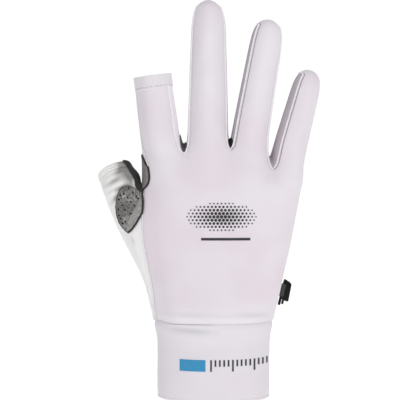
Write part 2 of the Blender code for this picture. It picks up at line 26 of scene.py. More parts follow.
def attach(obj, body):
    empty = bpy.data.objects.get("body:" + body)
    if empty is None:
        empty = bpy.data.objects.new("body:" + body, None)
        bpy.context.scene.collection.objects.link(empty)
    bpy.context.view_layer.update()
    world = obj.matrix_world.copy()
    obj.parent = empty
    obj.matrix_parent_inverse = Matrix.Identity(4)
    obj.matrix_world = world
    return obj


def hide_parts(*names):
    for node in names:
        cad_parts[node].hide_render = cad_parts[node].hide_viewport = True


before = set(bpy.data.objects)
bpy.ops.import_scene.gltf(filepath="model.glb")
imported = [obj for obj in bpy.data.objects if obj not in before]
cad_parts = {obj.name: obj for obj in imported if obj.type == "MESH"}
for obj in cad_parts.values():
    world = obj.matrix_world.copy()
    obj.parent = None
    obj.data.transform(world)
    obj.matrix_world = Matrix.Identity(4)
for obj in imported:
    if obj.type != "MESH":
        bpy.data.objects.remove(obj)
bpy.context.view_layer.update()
LOG = logging.getLogger("glove")

MM = 0.001
Point = tuple[float, float, float]
Spot = tuple[float, float]
Colour = tuple[float, float, float]
Ring = list[bmesh.types.BMVert]


class Panel(IntEnum):
    """The pieces of cloth that the skin is sewn from."""

    BACK = 0
    PALM = 1
    SIDE_1 = 2
    SIDE_2 = 3
    SIDE_3 = 4
    THUMB = 5
    THUMB_HEM = 6


class Side(Enum):
    """Which way a part of the glove faces, along Y."""

    BACK = -1.0
    PALM = 1.0


def vector(point: Sequence[float]) -> Vector:
    """A point given in millimetres, in metres."""
    return Vector(point) * MM


def mix(start: float, end: float, share: float) -> float:
    """The value this share of the way from start to end."""
    return start + (end - start) * share


def smooth(low: float, high: float, value: float) -> float:
    """0 below low, 1 above high and an even curve between."""
    share = min(1.0, max(0.0, (value - low) / (high - low)))
    return share * share * (3 - 2 * share)


class Value:
    """A number that varies over a surface: a shader socket with arithmetic."""

    def __init__(self, graph: Graph, socket: bpy.types.NodeSocket) -> None:
        """Wraps a socket of the graph."""
        self.graph = graph
        self.socket = socket

    def _math(self, operation: str, *terms: float | Value) -> Value:
        """Adds a Math node on these terms."""
        node = self.graph.add("ShaderNodeMath", {"operation": operation}, dict(enumerate(terms)))
        return Value(self.graph, node.outputs[0])

    def __add__(self, other: float | Value) -> Value:
        """The sum."""
        return self._math("ADD", self, other)

    def __sub__(self, other: float | Value) -> Value:
        """The difference."""
        return self._math("SUBTRACT", self, other)

    def __mul__(self, other: float | Value) -> Value:
        """The product."""
        return self._math("MULTIPLY", self, other)

    def __truediv__(self, other: float | Value) -> Value:
        """The quotient."""
        return self._math("DIVIDE", self, other)

    def wave(self) -> Value:
        """The cosine of this many turns, from 0 to 1."""
        return self._math("COSINE", self * math.tau) * 0.5 + 0.5

    def fold(self) -> Value:
        """A zigzag that rises from 0 to 1 and falls back once each unit."""
        return self._math("PINGPONG", self, 0.5) * 2

    def between(self, low: float, high: float) -> Value:
        """Sorts the value between two ends.

        Args:
            low: Where it starts to count.
            high: Where it counts in full.

        Returns:
            0 below low, 1 above high and an even curve between.
        """
        settings = {"interpolation_type": "SMOOTHSTEP"}
        inputs = {"Value": self, "From Min": low, "From Max": high}
        return Value(self.graph, self.graph.add("ShaderNodeMapRange", settings, inputs).outputs[0])


class Graph:
    """The node tree of one material."""

    def __init__(self, name: str) -> None:
        """Starts a material with its Principled BSDF.

        Args:
            name: The material's name.
        """
        self.material = bpy.data.materials.new(name)
        self.material.use_nodes = True
        self.nodes = self.material.node_tree.nodes
        self.links = self.material.node_tree.links
        self.shader = self.nodes["Principled BSDF"]

    def put(self, node: bpy.types.Node, inputs: dict) -> None:
        """Sets or links a node's sockets.

        Args:
            node: The node whose inputs are filled.
            inputs: A value, a Value or a socket for each socket's name or number.
        """
        for key, value in inputs.items():
            if isinstance(value, Value):
                value = value.socket
            if isinstance(value, bpy.types.NodeSocket):
                self.links.new(value, node.inputs[key])
            elif isinstance(value, tuple) and node.inputs[key].type == "RGBA":
                node.inputs[key].default_value = (*value, 1.0)
            else:
                node.inputs[key].default_value = value

    def add(self, kind: str, settings: dict | None = None, inputs: dict | None = None) -> bpy.types.Node:
        """Adds any node.

        Args:
            kind: The node's type.
            settings: Its own settings, which are set first.
            inputs: The values or links of its sockets.

        Returns:
            The new node.
        """
        node = self.nodes.new(kind)
        for name, value in (settings or {}).items():
            setattr(node, name, value)
        self.put(node, inputs or {})
        return node

    def place(self) -> bpy.types.NodeSocket:
        """The point on the object, in metres."""
        return self.add("ShaderNodeTexCoord").outputs["Object"]

    def height(self) -> Value:
        """How high the point lies, in metres."""
        return Value(self, self.add("ShaderNodeSeparateXYZ", None, {0: self.place()}).outputs[2])

    def cloth(self) -> tuple[Value, Value]:
        """Reads where a point lies on the cloth.

        Returns:
            How far round it lies and how far along, in metres.
        """
        source = self.add("ShaderNodeUVMap", {"uv_map": "cloth"}).outputs[0]
        split = self.add("ShaderNodeSeparateXYZ", None, {0: source})
        return Value(self, split.outputs[0]), Value(self, split.outputs[1])

    def painted(self, name: str) -> Value:
        """A number that the mesh holds at each point."""
        return Value(self, self.add("ShaderNodeAttribute", {"attribute_name": name}).outputs["Fac"])

    def cloud(self, scale: float, detail: float = 2.0) -> Value:
        """Soft noise from 0 to 1, with features of about 1 / scale metres."""
        inputs = {"Vector": self.place(), "Scale": scale, "Detail": detail}
        return Value(self, self.add("ShaderNodeTexNoise", None, inputs).outputs[0])

    def blend(
        self,
        share: float | Value,
        first: Colour | bpy.types.NodeSocket,
        second: Colour | bpy.types.NodeSocket,
    ) -> bpy.types.NodeSocket:
        """Mixes two colours.

        Args:
            share: How much of the second colour shows.
            first: A colour or a socket.
            second: A colour or a socket.

        Returns:
            The mixed colour's socket.
        """
        node = self.add("ShaderNodeMix", {"data_type": "RGBA"}, {0: share, 6: first, 7: second})
        return node.outputs[2]

    def bump(self, height: Value, distance: float, strength: float = 1.0) -> bpy.types.NodeSocket:
        """A normal that follows this height, whose full step is distance metres deep."""
        inputs = {"Height": height, "Distance": distance, "Strength": strength}
        return self.add("ShaderNodeBump", None, inputs).outputs[0]

    def finish(self, inputs: dict) -> bpy.types.Material:
        """Fills the shader's own sockets and returns the material."""
        self.put(self.shader, inputs)
        return self.material


class Finish(Protocol):
    """What a surface is made of."""

    def material(self) -> bpy.types.Material:
        """Makes the material."""


@cache
def dressed_in(finish: Finish) -> bpy.types.Material:
    """The finish's material, made once and shared."""
    return finish.material()


@dataclass(frozen=True)
class StretchCloth:
    """Smooth stretch knit: faint blotches, a soft sheen, fine ribs, and painted shade in its folds, seam
    grooves and ribs.
    """

    name: str
    colour: Colour
    blush: Colour
    shade: Colour
    roughness: float = 0.62
    sheen: float = 0.08
    wale: float = 0.55
    course: float = 0.42
    rib_share: float = 0.6
    knit_depth: float = 0.02
    knit_strength: float = 0.6
    rib_shade: float = 0.0
    blotch_scale: float = 38.0
    blotch_edge: Spot = (0.36, 0.68)
    least_blush: float = 0.3
    blush_starts: Spot = (0.045, 0.06)
    blush_fades: Spot = (0.06, 0.19)
    fading: float = 0.45
    gloss_scale: float = 90.0
    gloss_change: float = 0.12

    def material(self) -> bpy.types.Material:
        """Knits the cloth.

        Returns:
            The material.
        """
        graph = Graph(self.name)
        around, along = graph.cloth()
        rib = (around / (self.wale * MM)).fold()
        stitch = (along / (self.course * MM) + rib * 0.5).wave()
        knit = rib * self.rib_share + stitch * (1 - self.rib_share)
        blotch = graph.cloud(self.blotch_scale, 1.5).between(*self.blotch_edge)
        height = graph.height()
        # The blotches' tint is strongest just above the wrist and fades towards the tips, so the cloth is
        # darker and pinker low on the hand
        started, faded = height.between(*self.blush_starts), height.between(*self.blush_fades)
        blush = (blotch * (1 - self.least_blush) + self.least_blush - faded * self.fading) * started
        colour = graph.blend(blush, self.colour, self.blush)
        # Painted shade: the folds' and seams' shade, and the ribs' grooves, darken the colour towards the
        # shade colour
        colour = graph.blend(graph.painted("shade") + rib * self.rib_shade, colour, self.shade)
        rough = graph.cloud(self.gloss_scale) * self.gloss_change + (self.roughness - self.gloss_change / 2)
        return graph.finish(
            {
                "Base Color": colour,
                "Roughness": rough,
                "Specular IOR Level": 0.25,
                "Sheen Weight": self.sheen,
                "Sheen Roughness": 0.45,
                "Normal": graph.bump(knit, self.knit_depth * MM, self.knit_strength),
            }
        )


@dataclass(frozen=True)
class GripSheet:
    """Matt synthetic grip sheet with a fine suede grain, scuffed pale and here and there stained."""

    name: str
    colour: Colour
    worn: Colour
    stained: float = 0.1
    roughness: float = 0.7
    grain_scale: float = 1500.0
    grain_edge: Spot = (0.4, 0.75)
    scuff_scale: float = 950.0
    scuff_edge: Spot = (0.38, 0.66)
    scuff_share: float = 0.5
    stain_scale: float = 140.0
    stain_edge: Spot = (0.38, 0.6)
    gloss_change: float = 0.2
    depth: float = 0.12

    def material(self) -> bpy.types.Material:
        """Colours and scuffs the sheet.

        Returns:
            The material.
        """
        graph = Graph(self.name)
        grain = graph.cloud(self.grain_scale, 3.0)
        scuffs = graph.cloud(self.scuff_scale, 4.0).between(*self.scuff_edge)
        unstained = graph.cloud(self.stain_scale, 1.5).between(*self.stain_edge)
        clean = unstained * self.stained + (1 - self.stained)
        scuffed = scuffs * self.scuff_share + grain.between(*self.grain_edge) * (1 - self.scuff_share)
        return graph.finish(
            {
                "Base Color": graph.blend(scuffed * clean, self.colour, self.worn),
                "Roughness": grain * self.gloss_change + (self.roughness - self.gloss_change / 2),
                "Normal": graph.bump(grain + scuffs * self.scuff_share, self.depth * MM),
            }
        )


@dataclass(frozen=True)
class Thread:
    """Twisted sewing thread, piping and bound edges."""

    name: str
    colour: Colour
    dark: Colour
    roughness: float = 0.7
    twist_scale: float = 900.0
    twist_edge: Spot = (0.35, 0.7)
    depth: float = 0.08

    def material(self) -> bpy.types.Material:
        """Twists the thread.

        Returns:
            The material.
        """
        graph = Graph(self.name)
        twist = graph.cloud(self.twist_scale)
        return graph.finish(
            {
                "Base Color": graph.blend(twist.between(*self.twist_edge), self.dark, self.colour),
                "Roughness": self.roughness,
                "Sheen Weight": 0.2,
                "Normal": graph.bump(twist, self.depth * MM),
            }
        )


@dataclass(frozen=True)
class Webbing:
    """Black woven webbing."""

    name: str
    colour: Colour
    light: Colour
    rib: float = 0.9
    depth: float = 0.1

    def material(self) -> bpy.types.Material:
        """Weaves the webbing.

        Returns:
            The material.
        """
        graph = Graph(self.name)
        split = graph.add("ShaderNodeSeparateXYZ", None, {0: graph.place()})
        across = Value(graph, split.outputs[1]) / (self.rib * MM)
        along = Value(graph, split.outputs[2]) / (self.rib * MM)
        weave = (along + across.fold() * 0.5).wave()
        return graph.finish(
            {
                "Base Color": graph.blend(weave, self.colour, self.light),
                "Roughness": 0.8,
                "Sheen Weight": 0.3,
                "Normal": graph.bump(weave, self.depth * MM),
            }
        )


@dataclass(frozen=True)
class MouldedPlastic:
    """Satin moulded plastic with a fine spark-eroded texture, rubbed paler in places."""

    name: str
    colour: Colour
    worn: Colour
    roughness: float = 0.38
    gloss_change: float = 0.15
    texture_scale: float = 2500.0
    rub_scale: float = 300.0
    rub_edge: Spot = (0.55, 0.75)
    depth: float = 0.02

    def material(self) -> bpy.types.Material:
        """Moulds and rubs the plastic.

        Returns:
            The material.
        """
        graph = Graph(self.name)
        texture = graph.cloud(self.texture_scale)
        rub = graph.cloud(self.rub_scale, 3.0).between(*self.rub_edge)
        return graph.finish(
            {
                "Base Color": graph.blend(rub, self.colour, self.worn),
                "Roughness": texture * self.gloss_change + self.roughness,
                "Specular IOR Level": 0.2,
                "Normal": graph.bump(texture, self.depth * MM),
            }
        )


@dataclass(frozen=True)
class PrintInk:
    """Rubbery screen-printed ink, slightly worn."""

    name: str
    colour: Colour
    worn: Colour
    roughness: float = 0.38
    gloss_change: float = 0.15
    crackle_scale: float = 1200.0
    crackle_edge: Spot = (0.55, 0.8)
    depth: float = 0.02

    def material(self) -> bpy.types.Material:
        """Lays the ink.

        Returns:
            The material.
        """
        graph = Graph(self.name)
        crackle = graph.cloud(self.crackle_scale, 3.0)
        return graph.finish(
            {
                "Base Color": graph.blend(crackle.between(*self.crackle_edge), self.colour, self.worn),
                "Roughness": crackle * self.gloss_change + self.roughness,
                "Normal": graph.bump(crackle, self.depth * MM),
            }
        )


@dataclass(frozen=True)
class Paper:
    """Bright matt backdrop paper, lit from behind."""

    name: str
    colour: Colour
    cloudy: Colour
    glow: float = 0.5
    cloud_scale: float = 0.8

    def material(self) -> bpy.types.Material:
        """Lights the paper.

        Returns:
            The material.
        """
        graph = Graph(self.name)
        return graph.finish(
            {
                "Base Color": graph.blend(graph.cloud(self.cloud_scale), self.colour, self.cloudy),
                "Roughness": 0.9,
                "Emission Color": (1.0, 1.0, 1.0),
                "Emission Strength": self.glow,
            }
        )


LAVENDER = StretchCloth("lavender_knit", (0.80, 0.765, 0.805), (0.775, 0.69, 0.75), (0.45, 0.42, 0.47))
# The hem's ribs are darkened with painted shade in their grooves
HEM_CLOTH = StretchCloth(
    "hem_knit",
    (0.83, 0.80, 0.835),
    (0.81, 0.76, 0.80),
    (0.45, 0.42, 0.47),
    wale=1.9,
    knit_depth=0.12,
    rib_shade=0.2,
)
# Painted shade: the gussets of the middle, ring and little fingers are the side cloth darkened as if in
# shade; PALE_SIDE is that cloth unshaded, for the first gusset
SHADED_SIDE_CLOTH = StretchCloth("side_knit", (0.50, 0.46, 0.505), (0.52, 0.455, 0.50), (0.25, 0.23, 0.26))
PALE_SIDE = StretchCloth("pale_side_knit", (0.84, 0.81, 0.845), (0.82, 0.77, 0.815), (0.42, 0.40, 0.43))
WHITE = StretchCloth("white_knit", (0.86, 0.86, 0.85), (0.83, 0.82, 0.82), (0.29, 0.28, 0.275))
CUFF_CLOTH = StretchCloth(
    "cuff_knit",
    (0.76, 0.735, 0.785),
    (0.765, 0.72, 0.765),
    (0.45, 0.43, 0.48),
    knit_depth=0.03,
    blush_starts=(-0.02, -0.01),
)
SEAM_CLOTH = Thread("seam_cloth", (0.92, 0.90, 0.93), (0.84, 0.82, 0.86))
# Painted shadow: the dark lines laid beside the seams of the ring and little fingers
SEAM_SHADOW_LINE = Thread("seam_shadow_line", (0.34, 0.31, 0.335), (0.22, 0.20, 0.215))
PALE_THREAD = Thread("pale_thread", (0.80, 0.77, 0.80), (0.58, 0.55, 0.58))
GREY_GRIP = GripSheet("grey_grip", (0.15, 0.141, 0.138), (0.38, 0.362, 0.357))
WORN_GRIP = GripSheet("worn_grip", (0.09, 0.085, 0.083), (0.50, 0.478, 0.472), stained=0.6)
LIGHT_GRIP = GripSheet("light_grip", (0.25, 0.238, 0.234), (0.42, 0.402, 0.397))
DARK_GRIP = GripSheet("dark_grip", (0.009, 0.009, 0.009), (0.034, 0.034, 0.033))
TAB_GRIP = GripSheet("tab_grip", (0.075, 0.068, 0.072), (0.13, 0.12, 0.125))
BLACK_EDGE = Thread("black_edge", (0.014, 0.012, 0.013), (0.006, 0.005, 0.006))
BLACK_WEBBING = Webbing("black_webbing", (0.012, 0.012, 0.013), (0.05, 0.05, 0.053))
BLACK_PLASTIC = MouldedPlastic("moulded_black", (0.007, 0.007, 0.0075), (0.022, 0.022, 0.023))
CHARCOAL_INK = PrintInk("charcoal_ink", (0.03, 0.029, 0.033), (0.075, 0.073, 0.082))
BLUE_INK = PrintInk("blue_ink", (0.02, 0.26, 0.50), (0.08, 0.36, 0.58))
STUDIO_PAPER = Paper("studio_paper", (0.9, 0.9, 0.9), (0.93, 0.93, 0.93))
BRIGHT_PAPER = Paper("bright_paper", (0.9, 0.9, 0.9), (0.93, 0.93, 0.93), glow=1.0)

# Edges that turn by more than this many degrees stay sharp
SHARP_ANGLE = 50.0
# Points closer than this many millimetres are joined
JOINED = 0.001
# How far before the glove, in millimetres, the spots start that are laid on its back
IN_FRONT = 200.0


def to_object(name: str, bm: bmesh.types.BMesh, finish: Finish) -> bpy.types.Object:
    """Makes a smooth-shaded object of a bmesh, which it frees.

    Args:
        name: The object's name.
        bm: The finished shape, in metres.
        finish: What it is made of.

    Returns:
        The object, linked to the scene at the origin.
    """
    mesh = bpy.data.meshes.new(name)
    for face in bm.faces:
        face.material_index = 0
        face.smooth = True
    bm.to_mesh(mesh)
    bm.free()
    mesh.set_sharp_from_angle(angle=math.radians(SHARP_ANGLE))
    mesh.materials.append(dressed_in(finish))
    made = bpy.data.objects.new(name, mesh)
    bpy.context.scene.collection.objects.link(made)
    return made


def helper(bm: bmesh.types.BMesh) -> bpy.types.Object:
    """Makes a passing object of a bmesh, which it frees.

    Args:
        bm: The shape. The object keeps its faces' panel numbers.

    Returns:
        The object, linked to the scene.
    """
    mesh = bpy.data.meshes.new("helper")
    bm.to_mesh(mesh)
    bm.free()
    made = bpy.data.objects.new("helper", mesh)
    bpy.context.scene.collection.objects.link(made)
    return made


def applied(made: bpy.types.Object) -> bmesh.types.BMesh:
    """Takes an object's shape and removes the object.

    Args:
        made: The object.

    Returns:
        Its shape, with its modifiers and its place applied.
    """
    bpy.context.view_layer.update()
    graph = bpy.context.evaluated_depsgraph_get()
    mesh = bpy.data.meshes.new_from_object(made.evaluated_get(graph))
    mesh.transform(made.matrix_world)
    bm = bmesh.new()
    bm.from_mesh(mesh)
    bpy.data.objects.remove(made)
    bpy.data.meshes.remove(mesh)
    return bm


def subdivided(bm: bmesh.types.BMesh, levels: int) -> bmesh.types.BMesh:
    """Smooths a cage, which is used up.

    Args:
        bm: The cage.
        levels: How many times each face is divided.

    Returns:
        The smooth surface, which keeps the panel numbers and the cloth map.
    """
    made = helper(bm)
    smoothing = made.modifiers.new("smooth", "SUBSURF")
    smoothing.levels = smoothing.render_levels = levels
    return applied(made)


def combined(bm: bmesh.types.BMesh, tool: bmesh.types.BMesh, operation: str) -> bmesh.types.BMesh:
    """Cuts one shape with another. Both are freed.

    Args:
        bm: The shape.
        tool: The shape that cuts it.
        operation: "DIFFERENCE" to take the tool away, or "INTERSECT" to keep what lies inside it.

    Returns:
        What is left.
    """
    made, cutter = helper(bm), helper(tool)
    boolean = made.modifiers.new("cut", "BOOLEAN")
    boolean.operation = operation
    boolean.object = cutter
    boolean.use_self = True
    result = applied(made)
    bpy.data.objects.remove(cutter)
    return result


def settle(made: bpy.types.Object, slot: str, *nodes: str) -> None:
    """Makes a finished piece ride on the glove, in place of the nodes that it stands for.

    Args:
        made: The piece.
        slot: The record's material slot that it belongs to. It is not used.
        nodes: The solids that it replaces.
    """
    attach(made, "root")
    if nodes:
        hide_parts(*nodes)
    LOG.info("%s: %d faces", made.name, len(made.data.polygons))


def through(points: Sequence[Vector], passes: int = 12) -> list[Vector]:
    """Finds the closed cubic curve that passes through these points.

    Args:
        points: The points, in order.
        passes: How many times its control points are corrected.

    Returns:
        The curve's control points, one for each point.
    """
    cage = [point.copy() for point in points]
    for _ in range(passes):
        limits = [(cage[i - 1] + 4 * cage[i] + cage[(i + 1) % len(cage)]) / 6 for i in range(len(cage))]
        for control, point, limit in zip(cage, points, limits):
            control += point - limit
    return cage


def rounded(corners: Sequence[Spot], steps: int = 6) -> list[Spot]:
    """A smooth closed outline through these corners.

    Args:
        corners: The corners, in order.
        steps: How many points each stretch between two corners gets.

    Returns:
        The outline's points.
    """
    points = [Vector(corner) for corner in corners]
    outline = []
    for i, here in enumerate(points):
        before, after, beyond = points[i - 1], points[(i + 1) % len(points)], points[(i + 2) % len(points)]
        for step in range(steps):
            share = step / steps
            bend = (after - before) * share + (2 * before - 5 * here + 4 * after - beyond) * share**2
            bend += (3 * here - before - 3 * after + beyond) * share**3
            outline.append(tuple(here + bend / 2))
    return outline


def prism(outline: Sequence[Spot], near: float, far: float) -> bmesh.types.BMesh:
    """Makes a solid from an outline seen square to the back.

    Args:
        outline: The outline, in millimetres.
        near: The depth where the solid starts, in millimetres along Y.
        far: The depth where it ends.

    Returns:
        The closed solid.
    """
    bm = bmesh.new()
    face = bm.faces.new([bm.verts.new(vector((x, near, z))) for x, z in outline])
    made = bmesh.ops.extrude_face_region(bm, geom=[face], use_keep_orig=True)["geom"]
    top = [item for item in made if isinstance(item, bmesh.types.BMVert)]
    bmesh.ops.translate(bm, verts=top, vec=vector((0, far - near, 0)))
    bmesh.ops.recalc_face_normals(bm, faces=bm.faces[:])
    return bm


def thicken(bm: bmesh.types.BMesh, steps: Sequence[Vector]) -> bmesh.types.BMesh:
    """Closes an open surface into a wall.

    Args:
        bm: The surface.
        steps: For each vertex, the way to the wall's other side.

    Returns:
        The same bmesh, closed, with its faces outwards.
    """
    other_side = bm.verts.layers.float_vector.new("other_side")
    for vert, step in zip(bm.verts, steps):
        vert[other_side] = step
    return close_wall(bm)


def close_wall(bm: bmesh.types.BMesh) -> bmesh.types.BMesh:
    """Closes an open surface into a wall, by the steps that its vertices hold.

    Args:
        bm: The surface. Its vertices hold "other_side", the way to the wall's other side.

    Returns:
        The same bmesh, closed, with its faces outwards.
    """
    other_side = bm.verts.layers.float_vector["other_side"]
    made = bmesh.ops.extrude_face_region(bm, geom=bm.faces[:], use_keep_orig=True)["geom"]
    for item in made:
        if isinstance(item, bmesh.types.BMVert):
            item.co += item[other_side]
    bmesh.ops.recalc_face_normals(bm, faces=bm.faces[:])
    return bm


def tube_object(
    name: str,
    runs: Iterable[Sequence[Vector]],
    radius: float,
    finish: Finish,
) -> bpy.types.Object:
    """Tubes along runs of points, as one piece.

    Args:
        name: The piece's name.
        runs: The points of each tube's middle line, in metres.
        radius: The tubes' radius, in millimetres.
        finish: What they are made of.

    Returns:
        The piece.
    """
    data = bpy.data.curves.new(name, "CURVE")
    data.dimensions = "3D"
    data.bevel_depth = radius * MM
    data.bevel_resolution = 2
    data.use_fill_caps = True
    for run in runs:
        spline = data.splines.new("POLY")
        spline.points.add(len(run) - 1)
        for point, place in zip(spline.points, run):
            point.co = (*place, 1)
    made = bpy.data.objects.new(name, data)
    bpy.context.scene.collection.objects.link(made)
    bm = applied(made)
    bmesh.ops.remove_doubles(bm, verts=bm.verts[:], dist=JOINED * MM)
    bmesh.ops.recalc_face_normals(bm, faces=bm.faces[:])
    return to_object(name, bm, finish)


def stitches_object(
    name: str, rows: Iterable[Sequence[Vector]], length: float, radius: float, finish: Finish
) -> bpy.types.Object:
    """Stitches laid end to end along rows of points, as one piece.

    Args:
        name: The piece's name.
        rows: The points between which the stitches lie, in metres.
        length: How much of each gap its stitch fills, from 0 to 1.
        radius: The thread's radius, in millimetres.
        finish: What they are made of.

    Returns:
        The piece.
    """
    bm = bmesh.new()
    for row in rows:
        for start, end in zip(row, row[1:]):
            span = end - start
            turn = span.to_track_quat("Z", "X").to_matrix().to_4x4()
            size = Matrix.Diagonal((radius * MM, radius * MM, span.length * length / 2, 1))
            place = Matrix.Translation((start + end) / 2) @ turn @ size
            bmesh.ops.create_uvsphere(bm, u_segments=6, v_segments=4, radius=1, matrix=place)
    return to_object(name, bm, finish)


class Cage:
    """A coarse surface that grows ring by ring. Its map "cloth" follows the cloth, in metres."""

    tip_reach: float = 4.0

    def __init__(self) -> None:
        """Starts with nothing."""
        self.bm = bmesh.new()
        self.map = self.bm.loops.layers.uv.new("cloth")
        self.along: dict[bmesh.types.BMVert, float] = {}

    def start(self, points: Sequence[Vector]) -> Ring:
        """Makes the first ring.

        Args:
            points: Where its vertices go.

        Returns:
            The ring, which lies at the start of the cloth.
        """
        ring = bmesh.ops.create_circle(self.bm, segments=len(points), radius=MM)["verts"]
        for vert, point in zip(ring, points):
            vert.co = point
            self.along[vert] = 0.0
        return ring

    def add(self, point: Point, along: float) -> bmesh.types.BMVert:
        """Adds one more vertex.

        Args:
            point: Where it goes, in millimetres.
            along: How far along the cloth it lies, in metres.

        Returns:
            The vertex.
        """
        vert = self.bm.verts.new(vector(point))
        self.along[vert] = along
        return vert

    def loop(self, ring: Ring) -> list[bmesh.types.BMEdge]:
        """The edges round a closed ring, made where they are missing."""
        pairs = zip(ring, ring[1:] + ring[:1])
        return [self.bm.edges.get(pair) or self.bm.edges.new(pair) for pair in pairs]

    def around(self, ring: Ring) -> list[float]:
        """Measures a ring.

        Args:
            ring: The ring.

        Returns:
            How far round it each of its vertices lies, and the whole way round, in metres.
        """
        places = [0.0]
        for vert, following in zip(ring, ring[1:] + ring[:1]):
            places.append(places[-1] + (following.co - vert.co).length)
        return places

    def grow(self, ring: Ring, points: Sequence[Vector], panels: Sequence[int]) -> Ring:
        """Extrudes a ring to the next one.

        Args:
            ring: The ring that it starts from.
            points: Where each vertex of the new ring goes.
            panels: The panel of each new face.

        Returns:
            The new ring.
        """
        made = bmesh.ops.extrude_edge_only(self.bm, edges=self.loop(ring))["geom"]
        fresh = {item for item in made if isinstance(item, bmesh.types.BMVert)}
        above = []
        for vert, point in zip(ring, points):
            others = [edge.other_vert(vert) for edge in vert.link_edges]
            top = next(other for other in others if other in fresh)
            top.co = point
            self.along[top] = self.along[vert] + (top.co - vert.co).length
            above.append(top)
        low, high = self.around(ring), self.around(above)
        for i, (edge, panel) in enumerate(zip(self.loop(above), panels)):
            j = (i + 1) % len(ring)
            face = edge.link_faces[0]
            face.material_index = panel
            places = {ring[i]: low[i], ring[j]: low[i + 1], above[i]: high[i], above[j]: high[i + 1]}
            for corner in face.loops:
                corner[self.map].uv = (places[corner.vert], self.along[corner.vert])
        return above

    def close(self, ring: Ring, point: Point, panels: Sequence[int]) -> None:
        """Closes a fingertip with four faces round its middle.

        Args:
            ring: The last ring, of eight vertices.
            point: The middle, in millimetres.
            panels: The panel of each of the four faces.
        """
        middle = self.add(point, self.along[ring[0]] + self.tip_reach * MM)
        places = self.around(ring)
        for i, panel in enumerate(panels):
            corners = [(2 * i - 1) % len(ring), 2 * i, (2 * i + 1) % len(ring)]
            face = self.bm.faces.new([*(ring[corner] for corner in corners), middle])
            face.material_index = panel
            known = {ring[corner]: places[corner] for corner in corners}
            for corner in face.loops:
                around = known.get(corner.vert, places[2 * i])
                corner[self.map].uv = (around, self.along[corner.vert])

    def surface(self, levels: int) -> bmesh.types.BMesh:
        """The smooth surface of the cage, which is then used up."""
        bmesh.ops.recalc_face_normals(self.bm, faces=self.bm.faces[:])
        return subdivided(self.bm, levels)


@dataclass(frozen=True)
class Fold:
    """A soft fold, or a crease if its height is negative, between two spots seen square to the back. Its
    shade is painted shade, and a negative shade a painted highlight.
    """

    start: Spot
    end: Spot
    width: float
    height: float
    shade: float = 0.0
    side: Side = Side.BACK
    widest: float = 3.0
    turned_away: Spot = (-0.3, 0.3)
    taper: Spot = (0.08, 0.92)

    def strength(self, point: Vector, normal: Vector) -> float:
        """How much of the fold there is at a point of the cloth.

        Args:
            point: The point, in metres.
            normal: Which way the cloth faces there.

        Returns:
            From 0, none, to 1 on its crest.
        """
        spot = Vector((point.x, point.z)) / MM
        start, end = Vector(self.start), Vector(self.end)
        span = end - start
        share = (spot - start).dot(span) / span.length_squared
        away = (spot - start - span * min(1.0, max(0.0, share))).length
        if away > self.widest * self.width:
            return 0.0
        facing = smooth(*self.turned_away, normal.y * self.side.value)
        first, last = self.taper
        height = math.sin(math.pi * min(last, max(first, share)))
        return math.exp(-((away / self.width) ** 2)) * height * facing


@dataclass(frozen=True)
class Level:
    """A ring of the hand: its back seam on the thumb side, its outermost points, where the palm
    meets the thumb, and how deep the back and the palm lie. Its points number 24 with the thumb:
    0 is the seam, 9 the outermost point on the little-finger side and 18 where the palm ends."""

    seam: Point
    left: Point
    right: Point
    ball: Point
    back: float
    palm: float
    spread: tuple[float, ...] = (0.0, 0.115, 0.24, 0.375, 0.51, 0.645, 0.78, 0.895, 0.97)
    crown_flat: float = 2.6
    crown_round: float = 0.62
    ball_reach: float = 0.45
    edge_power: int = 4
    thumb_turns: tuple[float, ...] = (30, 60, 90)

    def over_back(self) -> list[Vector]:
        """Lays the points over the back of the hand.

        Returns:
            Nine points from the seam to just before the little-finger side.
        """
        points = []
        for share in self.spread:
            x, y, z = (mix(start, end, share) for start, end in zip(self.seam, self.right))
            crown = (1 - abs(2 * share - 1) ** self.crown_flat) ** self.crown_round
            points.append(vector((x, mix(y, self.back, crown), z)))
        return points

    def over_palm(self) -> list[Vector]:
        """Lays the points over the palm.

        Returns:
            Nine points from just after the little-finger side to where the palm meets the thumb.
        """
        points = []
        for share in reversed(self.spread):
            away = math.sin(math.pi / 2 * min(1, share / self.ball_reach))
            hollow = mix(self.ball[1], self.palm, away)
            edge = math.sqrt(1 - share**self.edge_power)
            x, z = mix(self.ball[0], self.right[0], share), mix(self.ball[2], self.right[2], share)
            points.append(vector((x, mix(self.right[1], hollow, edge), z)))
        return points

    def over_thumb(self) -> list[Vector]:
        """Lays the points round the thumb side.

        Returns:
            Five points from the palm to the back, the third of them the outermost.
        """
        points = []
        for corner, turns in ((self.ball, self.thumb_turns), (self.seam, self.thumb_turns[-2::-1])):
            for turn in turns:
                out, along = math.sin(math.radians(turn)), math.cos(math.radians(turn))
                x, z = mix(corner[0], self.left[0], out), mix(corner[2], self.left[2], out)
                points.append(vector((x, mix(self.left[1], corner[1], along), z)))
        return points

    def with_thumb(self) -> list[Vector]:
        """The whole ring below the thumb's crotch."""
        return [*self.over_back(), vector(self.right), *self.over_palm(), *self.over_thumb()]

    def without_thumb(self) -> list[Vector]:
        """The whole ring above the thumb's crotch."""
        return [*self.over_back(), vector(self.right), *self.over_palm(), vector(self.left)]


def oval(
    centre: Vector,
    axis: Vector,
    back: Vector,
    width: float,
    depth: float,
    angles: Sequence[float],
) -> list[Vector]:
    """The control points of an oval section.

    Args:
        centre: Its middle.
        axis: The way that the tube runs.
        back: The way that its back faces.
        width: Its size from side to side.
        depth: Its size from back to front.
        angles: Where its points lie, in degrees clockwise from the back's middle line.

    Returns:
        One control point for each angle.
    """
    axis = axis.normalized()
    right = axis.cross(back).normalized()
    front = right.cross(axis).normalized()
    points = []
    for angle in angles:
        turn = math.radians(angle)
        sideways = right * math.sin(turn) * width / 2
        points.append(centre + sideways + front * math.cos(turn) * depth / 2)
    return through(points)


